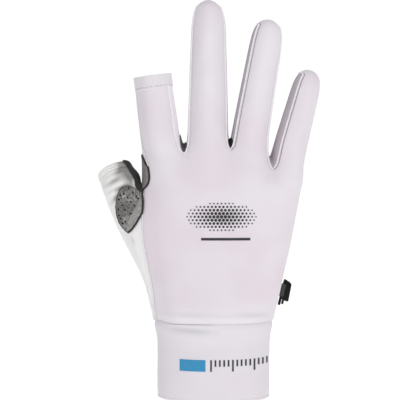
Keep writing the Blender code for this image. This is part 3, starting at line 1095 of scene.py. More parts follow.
@dataclass(frozen=True)
class Finger:
    """A finger of the glove: the middle of its root and tip, how far it bends to the palm, its
    widths, the angles of its left seam, its crown and its right seam from the back's middle line,
    its roll, its rings and how far its rim is turned level."""

    base: Point
    tip: Point
    bend: float
    wide: float
    narrow: float
    seam_left: float
    crown: float
    seam_right: float
    roll: float
    rings: tuple[float, ...] = (0.13, 0.31, 0.50, 0.69, 0.86, 0.965)
    closed: bool = True
    upright: float = 0.0
    flatness: float = 0.94
    seam_palm: float = 134.0
    bend_power: float = 1.7
    least_share: float = 0.05
    tip_rounding: tuple[Spot, ...] = ((0.965, 0.84), (0.95, 0.86))
    overshoot: float = 1.04

    def ring(self, share: float, proud: float = 0.0) -> list[Vector]:
        """Lays one ring of the finger.

        Args:
            share: How far up the finger it lies, from 0 at the root to 1 at the tip.
            proud: How many millimetres wider than the finger it is.

        Returns:
            The ring's eight control points.
        """
        base, tip = vector(self.base), vector(self.tip)
        bend = vector((0, self.bend, 0))
        centre = base.lerp(tip, share) + bend * (share**self.bend_power - share)
        slope = self.bend_power * max(share, self.least_share) ** (self.bend_power - 1)
        axis = tip - base + bend * (slope - 1)
        axis.y *= 1 - self.upright * share
        rounding = dict(self.tip_rounding).get(share, 1.0) if self.closed else 1.0
        width = (mix(self.wide, self.narrow, share) * rounding + proud) * MM
        roll = math.radians(self.roll)
        back = Vector((-math.sin(roll), -math.cos(roll), 0))
        left, right, palm = self.seam_left, self.seam_right, self.seam_palm
        angles = (-left, self.crown, right, (right + palm) / 2, palm, 180, -palm, -(left + palm) / 2)
        return oval(centre, axis, back, width, width * self.flatness, angles)

    def end(self) -> Point:
        """The cage's point over the tip."""
        return tuple(mix(base, tip, self.overshoot) for base, tip in zip(self.base, self.tip))


@dataclass(frozen=True)
class Thumb:
    """The thumb sleeve above its crotch: the middles of its root and rim, its widths there, and its
    rings and its hem's rings, each at a share of the sleeve and this much wider than it."""

    base: Point = (-49.6, 6.5, 111.6)
    rim: Point = (-57.35, 14.0, 128.45)
    widths: Spot = (21.6, 17.8)
    flatness: float = 1.05
    back: Point = (-0.15, -1.0, 0.0)
    angles: tuple[float, ...] = (-50, 0, 50, 90, 130, 180, -130, -90)
    rings: tuple[Spot, ...] = ((0.22, -0.4), (0.42, 0.5), (0.6, 0.2), (0.76, 0.1))
    hem: tuple[Spot, ...] = ((0.785, 0.6), (0.82, 0.9), (0.87, 1.0), (0.915, 1.0), (0.93, 0.4))
    stitch_rows: tuple[Spot, ...] = ((0.80, 1.0),)
    stitch_count: int = 32

    def ring(self, share: float, proud: float = 0.0) -> list[Vector]:
        """Lays one ring of the sleeve.

        Args:
            share: How far up the sleeve it lies, from 0 at the root to 1 at the rim.
            proud: How many millimetres wider than the sleeve it is.

        Returns:
            The ring's eight control points.
        """
        base, rim = vector(self.base), vector(self.rim)
        width = (mix(*self.widths, share) + proud) * MM
        centre = base.lerp(rim, share)
        return oval(centre, rim - base, Vector(self.back), width, width * self.flatness, self.angles)

    def sew(self) -> None:
        """Sews the stitches below the rim."""
        Stitching("thumb_hem_stitches", "white_cloth", self.ring, self.stitch_rows, self.stitch_count).build()


@dataclass
class Skin:
    """The glove's one smooth surface, with its folds, before it is cut into panels."""

    levels: tuple[Level, ...] = (
        Level((-31.6, -5.2, 43.9), (-33.9, 0.8, 43.9), (33.6, 0.0, 43.9), (-22.6, 15.4, 43.9), -22.2, 22.0),
        Level((-32.4, -5.5, 46.6), (-34.3, 1.0, 46.6), (34.1, 0.0, 46.6), (-23.5, 16.0, 46.6), -22.3, 22.0),
        Level((-33.7, -6.5, 60.0), (-37.2, 2.5, 60.0), (37.0, 0.0, 60.0), (-25.0, 18.5, 60.0), -21.0, 20.4),
        Level((-36.6, -8.0, 74.6), (-42.8, 5.0, 73.5), (40.6, 0.2, 74.6), (-28.0, 21.5, 74.0), -19.4, 18.2),
        Level((-39.7, -8.5, 88.5), (-50.6, 8.0, 86.5), (43.4, 0.5, 88.0), (-31.0, 23.5, 87.0), -18.2, 16.4),
        Level((-39.9, -8.0, 102.5), (-56.2, 9.5, 98.5), (45.9, 1.0, 101.0), (-33.5, 22.0, 99.5), -17.0, 15.0),
        Level(
            (-38.8, -5.5, 116.4), (-60.0, 9.0, 107.5), (48.0, 1.5, 112.0), (-35.5, 15.5, 112.5), -16.0, 14.6
        ),
    )
    thumb_crotch: Point = (-39.8, 4.5, 117.3)
    thumb: Thumb = Thumb()
    upper: Level = Level(
        (-34.8, -7.6, 124.2), (-39.7, 2.0, 125.5), (49.2, 1.5, 118.5), (-36.6, 11.5, 124.5), -15.4, 14.8
    )
    root_backs: tuple[Point, ...] = (
        (-40.4, 2.2, 137.2),
        (-30.0, -13.4, 139.0),
        (-16.0, -9.0, 134.8),
        (-3.8, -14.8, 143.0),
        (9.1, -9.0, 138.8),
        (20.3, -13.6, 138.0),
        (33.4, -7.5, 124.8),
        (42.8, -10.0, 126.0),
        (49.2, -4.5, 122.5),
    )
    root_palms: tuple[Point, ...] = (
        (49.2, 9.0, 123.5),
        (42.8, 12.5, 128.0),
        (32.4, 10.0, 134.0),
        (20.3, 12.5, 138.0),
        (8.9, 9.5, 141.0),
        (-3.8, 12.5, 142.0),
        (-16.2, 9.5, 142.0),
        (-28.0, 12.5, 138.5),
        (-37.2, 9.0, 133.5),
    )
    little_side: Point = (51.0, 2.0, 122.5)
    index_side: Point = (-39.8, 3.6, 133.4)
    webs: tuple[Point, ...] = ((-15.4, 1.0, 138.6), (9.0, 1.0, 143.0), (30.2, 2.0, 132.6))
    index: Finger = Finger(
        base=(-28.4, -1.5, 134.0),
        tip=(-34.4, 3.0, 180.5),
        bend=4.0,
        wide=22.2,
        narrow=20.6,
        seam_left=104,
        crown=-24,
        seam_right=48,
        roll=-4,
        rings=(0.22, 0.45, 0.66, 0.86),
        closed=False,
        upright=1.0,
    )
    middle: Finger = Finger(
        base=(-3.4, -2.5, 139.0),
        tip=(-2.7, 4.0, 222.6),
        bend=9.0,
        wide=22.2,
        narrow=17.4,
        seam_left=76,
        crown=-3,
        seam_right=80,
        roll=0,
    )
    ring: Finger = Finger(
        base=(17.6, -1.5, 134.0),
        tip=(31.4, 5.0, 211.7),
        bend=9.0,
        wide=21.0,
        narrow=17.0,
        seam_left=50,
        crown=8,
        seam_right=82,
        roll=3,
    )
    little: Finger = Finger(
        base=(38.9, 2.0, 126.0),
        tip=(54.9, 9.0, 184.0),
        bend=8.0,
        wide=20.2,
        narrow=15.8,
        seam_left=44,
        crown=22,
        seam_right=92,
        roll=-8,
        rings=(0.2, 0.4, 0.6, 0.80, 0.95),
    )
    detail: int = 3
    groove: float = 0.35
    groove_shade: float = 0.15
    wide_scale: float = 45.0
    close_scale: float = 120.0
    close_share: float = 0.35
    close_shift: Point = (7.0, 3.0, 5.0)
    folds: tuple[Fold, ...] = (
        # Across the thumb sleeve, from its rim down to the web: creases darkened with painted shade, broad
        # painted shade towards the grip strip and the hem, and ridges lightened with painted highlights
        Fold((-47.5, 130.5), (-40.5, 117.5), 3.0, 2.4),
        Fold((-53.0, 131.0), (-43.5, 117.5), 3.8, 0.0, 0.85),
        Fold((-55.5, 133.0), (-47.0, 130.2), 2.6, 0.0, 0.75),
        Fold((-52.6, 131.2), (-48.8, 126.6), 1.5, -0.3, 0.6),
        Fold((-57.0, 123.6), (-49.6, 130.2), 1.6, -0.8, 0.75),
        Fold((-60.4, 121.6), (-52.0, 127.0), 1.0, 0.7, -0.25),
        Fold((-60.6, 119.0), (-51.0, 124.4), 1.2, -0.8, 0.7),
        Fold((-59.4, 117.4), (-49.0, 121.6), 0.9, 0.7, -0.3),
        Fold((-57.4, 115.6), (-46.0, 119.6), 1.2, -0.9, 1.0),
        Fold((-59.6, 113.2), (-53.6, 117.2), 0.9, 0.6, -0.2),
        Fold((-57.4, 109.2), (-51.6, 115.8), 1.1, -0.7, 0.9),
        Fold((-49.4, 126.6), (-44.6, 119.6), 0.9, -0.6, 0.8),
        Fold((-46.2, 122.6), (-43.6, 118.4), 0.6, 0.7, -1.0),
        # Down the thumb's side of the hand, below the web, the creases darkened with painted shade
        Fold((-48.0, 90.0), (-40.0, 68.0), 2.5, 0.45),
        Fold((-51.5, 88.0), (-42.5, 66.0), 1.8, -0.35, 0.15),
        Fold((-46.5, 91.5), (-44.0, 86.5), 0.7, -0.4, 0.35),
        # Puckers at the crotches of the fingers, their creases darkened with painted shade
        Fold((-15.8, 136.0), (-12.6, 133.2), 0.8, -0.45, 0.12),
        Fold((-14.0, 137.4), (-10.4, 135.0), 0.8, 0.35),
        Fold((-17.4, 136.0), (-18.6, 131.0), 0.9, -0.3, 0.08),
        Fold((8.9, 136.6), (9.0, 131.0), 0.9, -0.3, 0.08),
        Fold((32.0, 128.0), (29.0, 123.0), 1.0, -0.4, 0.1),
        Fold((33.0, 127.0), (35.0, 121.0), 1.0, -0.35, 0.1),
        # Over the knuckles
        Fold((-30.0, 134.0), (-22.0, 120.0), 4.0, 0.35),
        Fold((-3.5, 138.0), (-2.0, 122.0), 5.0, 0.45),
        Fold((19.5, 134.0), (16.0, 118.0), 5.0, 0.4),
        Fold((39.0, 121.0), (34.0, 108.0), 4.5, 0.35),
        # Above the wrist seam: a bulge, and creases darkened with painted shade
        Fold((-30.0, 47.6), (30.0, 46.8), 1.3, 0.5),
        Fold((10.0, 49.6), (34.0, 48.0), 1.3, -0.5, 0.22),
        Fold((-28.0, 50.0), (4.0, 49.4), 1.4, -0.3, 0.08),
        # On the palm: the lines that a hand leaves, darkened with painted shade
        Fold((-34.0, 100.0), (-18.0, 66.0), 2.2, -0.6, 0.12, Side.PALM),
        Fold((-30.0, 108.0), (14.0, 96.0), 2.0, -0.5, 0.12, Side.PALM),
        Fold((-6.0, 106.5), (38.0, 110.0), 2.0, -0.45, 0.1, Side.PALM),
        Fold((-36.0, 78.0), (-26.0, 62.0), 2.0, 0.5, 0.0, Side.PALM),
        Fold((-3.0, 168.0), (-3.0, 164.0), 4.0, -0.5, 0.15, Side.PALM),
        Fold((24.0, 160.0), (24.0, 156.0), 4.0, -0.5, 0.15, Side.PALM),
    )
    unevenness: dict[Panel, float] = field(
        default_factory=lambda: {
            Panel.BACK: 0.22,
            Panel.PALM: 0.4,
            Panel.SIDE_1: 0.2,
            Panel.SIDE_2: 0.2,
            Panel.SIDE_3: 0.2,
            Panel.THUMB: 0.35,
            Panel.THUMB_HEM: 0.2,
        }
    )

    def cage(self) -> Cage:
        """Grows the coarse cage of the whole skin.

        Returns:
            The cage.
        """
        cage = Cage()
        below = [Panel.BACK] * 9 + [Panel.PALM] * 9 + [Panel.THUMB] * 6
        above = [Panel.BACK] * 9 + [Panel.PALM] * 11
        ring = cage.start(through(self.levels[0].with_thumb()))
        for level in self.levels[1:]:
            ring = cage.grow(ring, through(level.with_thumb()), below)
        crotch = cage.add(self.thumb_crotch, cage.along[ring[0]])
        tube = [ring[22], ring[23], ring[0], crotch, *ring[18:22]]
        for share, proud in self.thumb.rings:
            tube = cage.grow(tube, self.thumb.ring(share, proud), [Panel.THUMB] * 8)
        for share, proud in self.thumb.hem:
            tube = cage.grow(tube, self.thumb.ring(share, proud), [Panel.THUMB_HEM] * 8)
        ring = cage.grow(ring[:19] + [crotch], through(self.upper.without_thumb()), above)
        roots = [*self.root_backs, self.little_side, *self.root_palms, self.index_side]
        ring = cage.grow(ring, [vector(root) for root in roots], above)
        self.raise_fingers(cage, ring)
        return cage

    def raise_fingers(self, cage: Cage, ring: Ring) -> None:
        """Grows the four fingers.

        Args:
            cage: The cage of the hand.
            ring: The ring of the fingers' roots.
        """
        first, second, third = (cage.add(web, cage.along[ring[4]]) for web in self.webs)
        side_1, side_2, side_3 = Panel.SIDE_1, Panel.SIDE_2, Panel.SIDE_3
        plans = (
            (self.index, [*ring[0:3], first, *ring[16:20]], Panel.PALM, (side_1, side_1)),
            (self.middle, [*ring[2:5], second, *ring[14:17], first], side_1, (side_2, side_2)),
            (self.ring, [*ring[4:7], third, *ring[12:15], second], side_2, (side_3, side_3)),
            (self.little, [*ring[6:13], third], side_3, (Panel.BACK, Panel.PALM)),
        )
        for finger, tube, left, right in plans:
            panels = [Panel.BACK, Panel.BACK, *right, Panel.PALM, Panel.PALM, left, left]
            for share in finger.rings:
                tube = cage.grow(tube, finger.ring(share), panels)
            if finger.closed:
                cage.close(tube, finger.end(), (Panel.BACK, Panel.BACK, Panel.PALM, Panel.PALM))

    def build(self) -> bmesh.types.BMesh:
        """Smooths the cage and folds the cloth.

        Returns:
            The skin. Its vertices hold "shade", the painted shade that folds and seam grooves lay on them.
        """
        bm = self.cage().surface(self.detail)
        bm.normal_update()
        shade = bm.verts.layers.float.new("shade")
        moves = []
        for vert in bm.verts:
            lift, dark = self.relief(vert)
            vert[shade] = dark
            moves.append(vert.normal * lift * MM)
        for vert, move in zip(bm.verts, moves):
            vert.co += move
        bm.normal_update()
        return bm

    def relief(self, vert: bmesh.types.BMVert) -> tuple[float, float]:
        """How the cloth lies at a vertex.

        Args:
            vert: A vertex of the smooth skin.

        Returns:
            How far it stands out, in millimetres, and how much painted shade its folds and seam groove lay
            there.
        """
        panels = {face.material_index for face in vert.link_faces}
        rough = min(self.unevenness[Panel(panel)] for panel in panels)
        wide = noise.noise(vert.co * self.wide_scale)
        close = noise.noise(vert.co * self.close_scale + Vector(self.close_shift))
        lift = rough * (wide + self.close_share * close)
        dark = 0.0
        for fold in self.folds:
            strength = fold.strength(vert.co, vert.normal)
            lift += fold.height * strength
            dark += fold.shade * strength
        # Seams sink into a groove, darkened with painted shade
        if len(panels) > 1:
            lift -= self.groove
            dark += self.groove_shade
        return lift, min(1.0, max(0.0, dark))


def seam_runs(skin: bmesh.types.BMesh, first: Panel, second: Panel, out: float) -> list[list[Vector]]:
    """The seams between two panels, as runs of points this many millimetres off the skin.

    Args:
        skin: The smooth skin.
        first: The panel on one side.
        second: The panel on the other.
        out: How far the runs stand out.

    Returns:
        Each run's points in order, in metres.
    """
    beside: dict[bmesh.types.BMVert, list[bmesh.types.BMVert]] = {}
    for edge in skin.edges:
        if {face.material_index for face in edge.link_faces} == {first, second}:
            for vert in edge.verts:
                beside.setdefault(vert, []).append(edge.other_vert(vert))
    runs = []
    ends = [vert for vert, others in beside.items() if len(others) == 1]
    for end in ends:
        if end not in beside:
            continue
        run, here = [], end
        while here is not None:
            run.append(here)
            onward = [other for other in beside.pop(here) if other in beside]
            here = onward[0] if onward else None
        runs.append([vert.co + vert.normal * out * MM for vert in run])
    return runs


def on_skin(surface: BVHTree, spots: Sequence[Spot], out: float) -> list[Vector]:
    """Lays spots, seen square to the back, on a surface.

    Args:
        surface: The surface.
        spots: The spots, in millimetres.
        out: How far off the surface they come to lie, in millimetres.

    Returns:
        The points, in metres.
    """
    points = []
    for x, z in spots:
        place, normal, _, _ = surface.ray_cast(vector((x, -IN_FRONT, z)), Vector((0, 1, 0)))
        if place is not None:
            points.append(place + normal * (out * MM if normal.y < 0 else -out * MM))
    return points


@dataclass
class ClothPanels:
    """The pieces of cloth, each a thin wall between its seams. The thumb's hem is doubled."""

    wall: float = 1.0
    doubled: float = 1.5
    evening_passes: int = 6
    most_shell: float = 1.25
    pieces: tuple[tuple[Panel, str, str, StretchCloth, str], ...] = (
        (Panel.BACK, "back_cloth", "back_panel", LAVENDER, "lavender_cloth"),
        (Panel.PALM, "palm_cloth", "palm_panel", WHITE, "white_cloth"),
        # The second and third gussets are cut from cloth darkened with painted shade, the first from the same
        # cloth without it
        (Panel.SIDE_1, "gusset_index_middle", "fourchette_index_middle", PALE_SIDE, "lavender_cloth"),
        (Panel.SIDE_2, "gusset_middle_ring", "fourchette_middle_ring", SHADED_SIDE_CLOTH, "lavender_cloth"),
        (Panel.SIDE_3, "gusset_ring_little", "fourchette_ring_little", SHADED_SIDE_CLOTH, "lavender_cloth"),
        (Panel.THUMB, "thumb_cloth", "thumb_sleeve", WHITE, "white_cloth"),
        (Panel.THUMB_HEM, "thumb_hem_fold", "thumb_hem", WHITE, "white_cloth"),
    )

    def inward(self, skin: bmesh.types.BMesh) -> list[Vector]:
        """Finds the inner side of the cloth.

        Args:
            skin: The smooth skin.

        Returns:
            The way there from each vertex, evened out over the skin.
        """
        skin.verts.index_update()
        steps = [vert.normal * min(self.most_shell, vert.calc_shell_factor()) for vert in skin.verts]
        for _ in range(self.evening_passes):
            even = []
            for vert in skin.verts:
                others = [steps[edge.other_vert(vert).index] for edge in vert.link_edges]
                even.append(sum(others, steps[vert.index]) / (len(others) + 1))
            steps = even
        return [step.normalized() * -self.wall * MM for step in steps]

    def build(self, skin: bmesh.types.BMesh) -> None:
        """Cuts the panels from the skin and dresses them.

        Args:
            skin: The smooth skin, which stays as it is.
        """
        other_side = skin.verts.layers.float_vector.new("other_side")
        for vert, step in zip(skin.verts, self.inward(skin)):
            hemmed = any(face.material_index == Panel.THUMB_HEM for face in vert.link_faces)
            vert[other_side] = step * (self.doubled if hemmed else 1.0)
        for panel, name, node, cloth, slot in self.pieces:
            bm = skin.copy()
            others = [face for face in bm.faces if face.material_index != panel]
            bmesh.ops.delete(bm, geom=others, context="FACES")
            settle(to_object(name, close_wall(bm), cloth), slot, node)
        skin.verts.layers.float_vector.remove(other_side)


@dataclass
class SeamRidges:
    """The sewn edges that stand up along the fingers and down the thumb's side, and two dark lines of painted
    shadow beside seams.
    """

    bold: float = 0.5
    fine: float = 0.3
    proud: float = 0.35
    crease: float = 0.2
    crease_proud: float = 0.06
    beside: float = 0.85
    crease_pairs: tuple[tuple[Panel, Panel], ...] = (
        (Panel.BACK, Panel.SIDE_2),
        (Panel.BACK, Panel.SIDE_3),
    )
    bold_pairs: tuple[tuple[Panel, Panel], ...] = (
        (Panel.BACK, Panel.SIDE_1),
        (Panel.BACK, Panel.SIDE_2),
        (Panel.BACK, Panel.SIDE_3),
    )
    fine_pairs: tuple[tuple[Panel, Panel], ...] = (
        (Panel.PALM, Panel.SIDE_1),
        (Panel.PALM, Panel.SIDE_2),
        (Panel.PALM, Panel.SIDE_3),
        (Panel.BACK, Panel.PALM),
        (Panel.BACK, Panel.THUMB),
        (Panel.PALM, Panel.THUMB),
    )

    def crease_runs(self, skin: bmesh.types.BMesh) -> list[list[Vector]]:
        """Finds where the dark lines of painted shadow go, beside the back's seams.

        Args:
            skin: The smooth skin.

        Returns:
            Lines just inside the left seams of the ring and little fingers, in metres.
        """
        surface = BVHTree.FromBMesh(skin)
        runs = []
        for first, second in self.crease_pairs:
            for run in seam_runs(skin, first, second, 0.0):
                lowest = min(range(len(run)), key=lambda i: run[i].z)
                climbs = max(run[: lowest + 1], run[lowest:], key=lambda part: max(point.x for point in part))
                spots = [(point.x / MM + self.beside, point.z / MM) for point in climbs]
                runs.append(on_skin(surface, spots, self.crease_proud))
        return runs

    def build(self, skin: bmesh.types.BMesh) -> None:
        """Lays the dark lines of painted shadow, and a ridge along every seam.

        Args:
            skin: The smooth skin.
        """
        creases = tube_object("painted_seam_shadows", self.crease_runs(skin), self.crease, SEAM_SHADOW_LINE)
        settle(creases, "lavender_cloth")
        for name, pairs, radius in (
            ("finger_seam_ridges", self.bold_pairs, self.bold),
            ("fine_seam_ridges", self.fine_pairs, self.fine),
        ):
            runs = []
            for first, second in pairs:
                runs += seam_runs(skin, first, second, self.proud)
            settle(tube_object(name, runs, radius, SEAM_CLOTH), "lavender_cloth")


@dataclass
class Stitching:
    """Rows of stitches round a hem, each at a share of the finger and this much wider than it."""

    name: str
    slot: str
    ring_at: Callable[[float, float], list[Vector]]
    rows: tuple[Spot, ...]
    count: int = 36
    length: float = 0.62
    radius: float = 0.2

    def points(self, share: float, proud: float) -> list[Vector]:
        """Finds the ends of the stitches round one row.

        Args:
            share: How far up the finger the row lies.
            proud: How many millimetres wider than the finger it is.

        Returns:
            The points, the last of them over the first, in metres.
        """
        ring = self.ring_at(share, proud)
        points = []
        for i in range(self.count + 1):
            place = i * len(ring) / self.count
            here, part = int(place) % len(ring), place % 1
            a, b, c, d = (ring[(here + step) % len(ring)] for step in (-1, 0, 1, 2))
            weights = (
                (1 - part) ** 3 / 6,
                (3 * part**3 - 6 * part**2 + 4) / 6,
                (-3 * part**3 + 3 * part**2 + 3 * part + 1) / 6,
                part**3 / 6,
            )
            points.append(a * weights[0] + b * weights[1] + c * weights[2] + d * weights[3])
        return points

    def build(self) -> None:
        """Sews the rows."""
        rows = [self.points(share, proud) for share, proud in self.rows]
        settle(stitches_object(self.name, rows, self.length, self.radius, PALE_THREAD), self.slot)


@dataclass
class IndexHem:
    """The doubled hem round the open index finger: a lip, a smooth band and a stitched groove."""

    ring_at: Callable[[float, float], list[Vector]]
    rows: tuple[Spot, ...] = (
        (0.823, -0.9),
        (0.83, 0.15),
        (0.84, 0.45),
        (0.849, 0.5),
        (0.856, 0.0),
        (0.864, 0.0),
        (0.871, 0.6),
        (0.91, 0.7),
        (0.96, 0.7),
        (0.975, 0.9),
        (0.99, 1.1),
        (1.0, 0.8),
    )
    stitch_rows: tuple[Spot, ...] = ((0.86, 0.5),)
    wall: float = 1.4
    ripple: float = 0.1
    ripple_scale: float = 260.0
    detail: int = 3

    def build(self) -> None:
        """Builds the hem and its stitches."""
        cage = Cage()
        ring = cage.start(self.ring_at(*self.rows[0]))
        for share, proud in self.rows[1:]:
            ring = cage.grow(ring, self.ring_at(share, proud), [0] * len(ring))
        bm = cage.surface(self.detail)
        bm.normal_update()
        shade = bm.verts.layers.float.new("shade")
        moves = []
        for vert in bm.verts:
            ripple = self.ripple * noise.noise(vert.co * self.ripple_scale)
            moves.append(vert.normal * ripple * MM)
        for vert, move in zip(bm.verts, moves):
            vert.co += move
            vert[shade] = 0.0
        bm.normal_update()
        steps = [vert.normal * -self.wall * MM for vert in bm.verts]
        settle(to_object("index_hem_fold", thicken(bm, steps), HEM_CLOTH), "lavender_cloth", "index_hem")
        Stitching("index_hem_stitches", "lavender_cloth", self.ring_at, self.stitch_rows).build()


@dataclass
class WristBand:
    """The long doubled band round the wrist, with a ridge under the seam and soft creases, darkened with
    painted shade.
    """

    width: float = 63.3
    depth: float = 42.6
    wall: float = 1.8
    sides: int = 48
    detail: int = 2
    wide_lift: float = 0.25
    wide_scale: float = 50.0
    close_lift: float = 0.08
    close_scale: float = 150.0
    calm_rim: Spot = (0.0, 3.0)
    rows: tuple[Spot, ...] = (
        (0.0, -1.0),
        (0.25, -0.3),
        (0.9, 0.05),
        (1.6, -0.05),
        (2.1, -0.3),
        (2.8, -0.1),
        (6.0, -0.05),
        (13.0, -0.1),
        (20.0, -0.1),
        (27.0, 0.0),
        (32.0, 0.1),
        (35.0, 0.4),
        (37.5, 0.9),
        (39.6, 1.3),
        (41.2, 1.6),
        (42.6, 1.35),
        (43.4, 1.15),
        (43.9, 1.05),
        (44.4, 0.85),
        (45.2, 0.2),
    )
    folds: tuple[Fold, ...] = (
        # Painted shadow under the band's bulge and painted shade in the seam's crease on the left half; the
        # ridge below the seam gets a faint painted highlight
        Fold((-28.0, 40.8), (2.0, 39.6), 1.5, -0.7, 0.4),
        Fold((-29.0, 43.0), (12.0, 43.0), 0.9, 0.4, -0.1),
        Fold((-32.0, 44.2), (8.0, 44.0), 0.8, -0.4, 0.55),
        Fold((-24.0, 36.4), (10.0, 35.0), 2.4, 0.35),
        Fold((-20.0, 27.0), (14.0, 30.0), 3.0, -0.25, 0.05),
        Fold((-6.0, 14.0), (12.0, 11.0), 2.5, 0.25),
        Fold((20.0, 36.0), (24.0, 24.0), 2.0, -0.3, 0.05),
        Fold((-22.0, 38.0), (16.0, 40.0), 1.6, -0.6, 0.2, Side.PALM),
        Fold((-20.0, 33.0), (20.0, 31.0), 2.4, 0.3, 0.0, Side.PALM),
    )

    def oval(self, height: float, proud: float) -> list[Vector]:
        """Lays one ring of the band.

        Args:
            height: How high it lies, in millimetres.
            proud: How far it stands out from the band's own size.

        Returns:
            The ring's points.
        """
        points = []
        for side in range(self.sides):
            turn = math.tau * side / self.sides
            x = (self.width / 2 + proud) * math.cos(turn)
            y = (self.depth / 2 + proud) * math.sin(turn)
            points.append(vector((x, y, height)))
        return points

    def build(self) -> BVHTree:
        """Builds the band.

        Returns:
            Its outer surface, for what is printed on it.
        """
        cage = Cage()
        ring = cage.start(self.oval(*self.rows[0]))
        for height, proud in self.rows[1:]:
            ring = cage.grow(ring, self.oval(height, proud), [0] * self.sides)
        bm = cage.surface(self.detail)
        bm.normal_update()
        shade = bm.verts.layers.float.new("shade")
        moves = []
        for vert in bm.verts:
            lift = self.wide_lift * noise.noise(vert.co * self.wide_scale)
            lift += self.close_lift * noise.noise(vert.co * self.close_scale)
            dark = 0.0
            for fold in self.folds:
                strength = fold.strength(vert.co, vert.normal)
                lift += fold.height * strength
                dark += fold.shade * strength
            # The folds' shade is painted shade
            vert[shade] = min(1.0, dark)
            moves.append(vert.normal * lift * MM * smooth(*self.calm_rim, vert.co.z / MM))
        for vert, move in zip(bm.verts, moves):
            vert.co += move
        bm.normal_update()
        surface = BVHTree.FromBMesh(bm)
        steps = []
        for vert in bm.verts:
            level = Vector((vert.normal.x, vert.normal.y, 0)).normalized()
            steps.append(level * -self.wall * MM)
        settle(to_object("wrist_band", thicken(bm, steps), CUFF_CLOTH), "lavender_cloth", "cuff")
        return surface


@dataclass
class Sheet:
    """A grip sheet on the skin: the panels that carry it, its outline and how deep it reaches."""

    name: str
    panels: tuple[Panel, ...]
    outline: tuple[Spot, ...]
    near: float
    far: float
    finish: GripSheet
    nodes: tuple[str, ...] = ()
    gap: float = 0.05
    thickness: float = 0.6
    margin: float = 4.0
    holes: tuple[Spot, ...] = ()
    hole_width: float = 1.15
    hole_sides: int = 12
    pin_middle: float = -10.0
    pin_length: float = 30.0

    def inside(self, face: bmesh.types.BMFace) -> bool:
        """Tests whether a face of the skin lies where the sheet may reach.

        Args:
            face: The face.

        Returns:
            True if it is needed to cut the sheet from.
        """
        middle = face.calc_center_median() / MM
        xs, zs = zip(*self.outline)
        return (
            face.material_index in self.panels
            and min(xs) - self.margin < middle.x < max(xs) + self.margin
            and min(zs) - self.margin < middle.z < max(zs) + self.margin
            and self.near < middle.y < self.far
        )

    def build(self, skin: bmesh.types.BMesh) -> None:
        """Lays the sheet on the skin, cut to its outline and perforated.

        Args:
            skin: The smooth skin.
        """
        bm = skin.copy()
        bm.normal_update()
        other_side = bm.verts.layers.float_vector.new("other_side")
        for vert in bm.verts:
            vert[other_side] = vert.normal * self.thickness * MM
        for vert in bm.verts:
            vert.co += vert.normal * self.gap * MM
        others = [face for face in bm.faces if not self.inside(face)]
        bmesh.ops.delete(bm, geom=others, context="FACES")
        bm = combined(close_wall(bm), prism(rounded(self.outline), self.near, self.far), "INTERSECT")
        if self.holes:
            bm = combined(bm, self.punches(), "DIFFERENCE")
        settle(to_object(self.name, bm, self.finish), "grip", *self.nodes)

    def punches(self) -> bmesh.types.BMesh:
        """Makes the pins that perforate the sheet.

        Returns:
            The pins, square to the back of the hand.
        """
        bm = bmesh.new()
        turn = Matrix.Rotation(math.radians(90), 4, "X")
        for x, z in self.holes:
            bmesh.ops.create_cone(
                bm,
                cap_ends=True,
                segments=self.hole_sides,
                radius1=self.hole_width / 2 * MM,
                radius2=self.hole_width / 2 * MM,
                depth=self.pin_length * MM,
                matrix=Matrix.Translation(vector((x, self.pin_middle, z))) @ turn,
            )
        bmesh.ops.recalc_face_normals(bm, faces=bm.faces[:])
        return bm


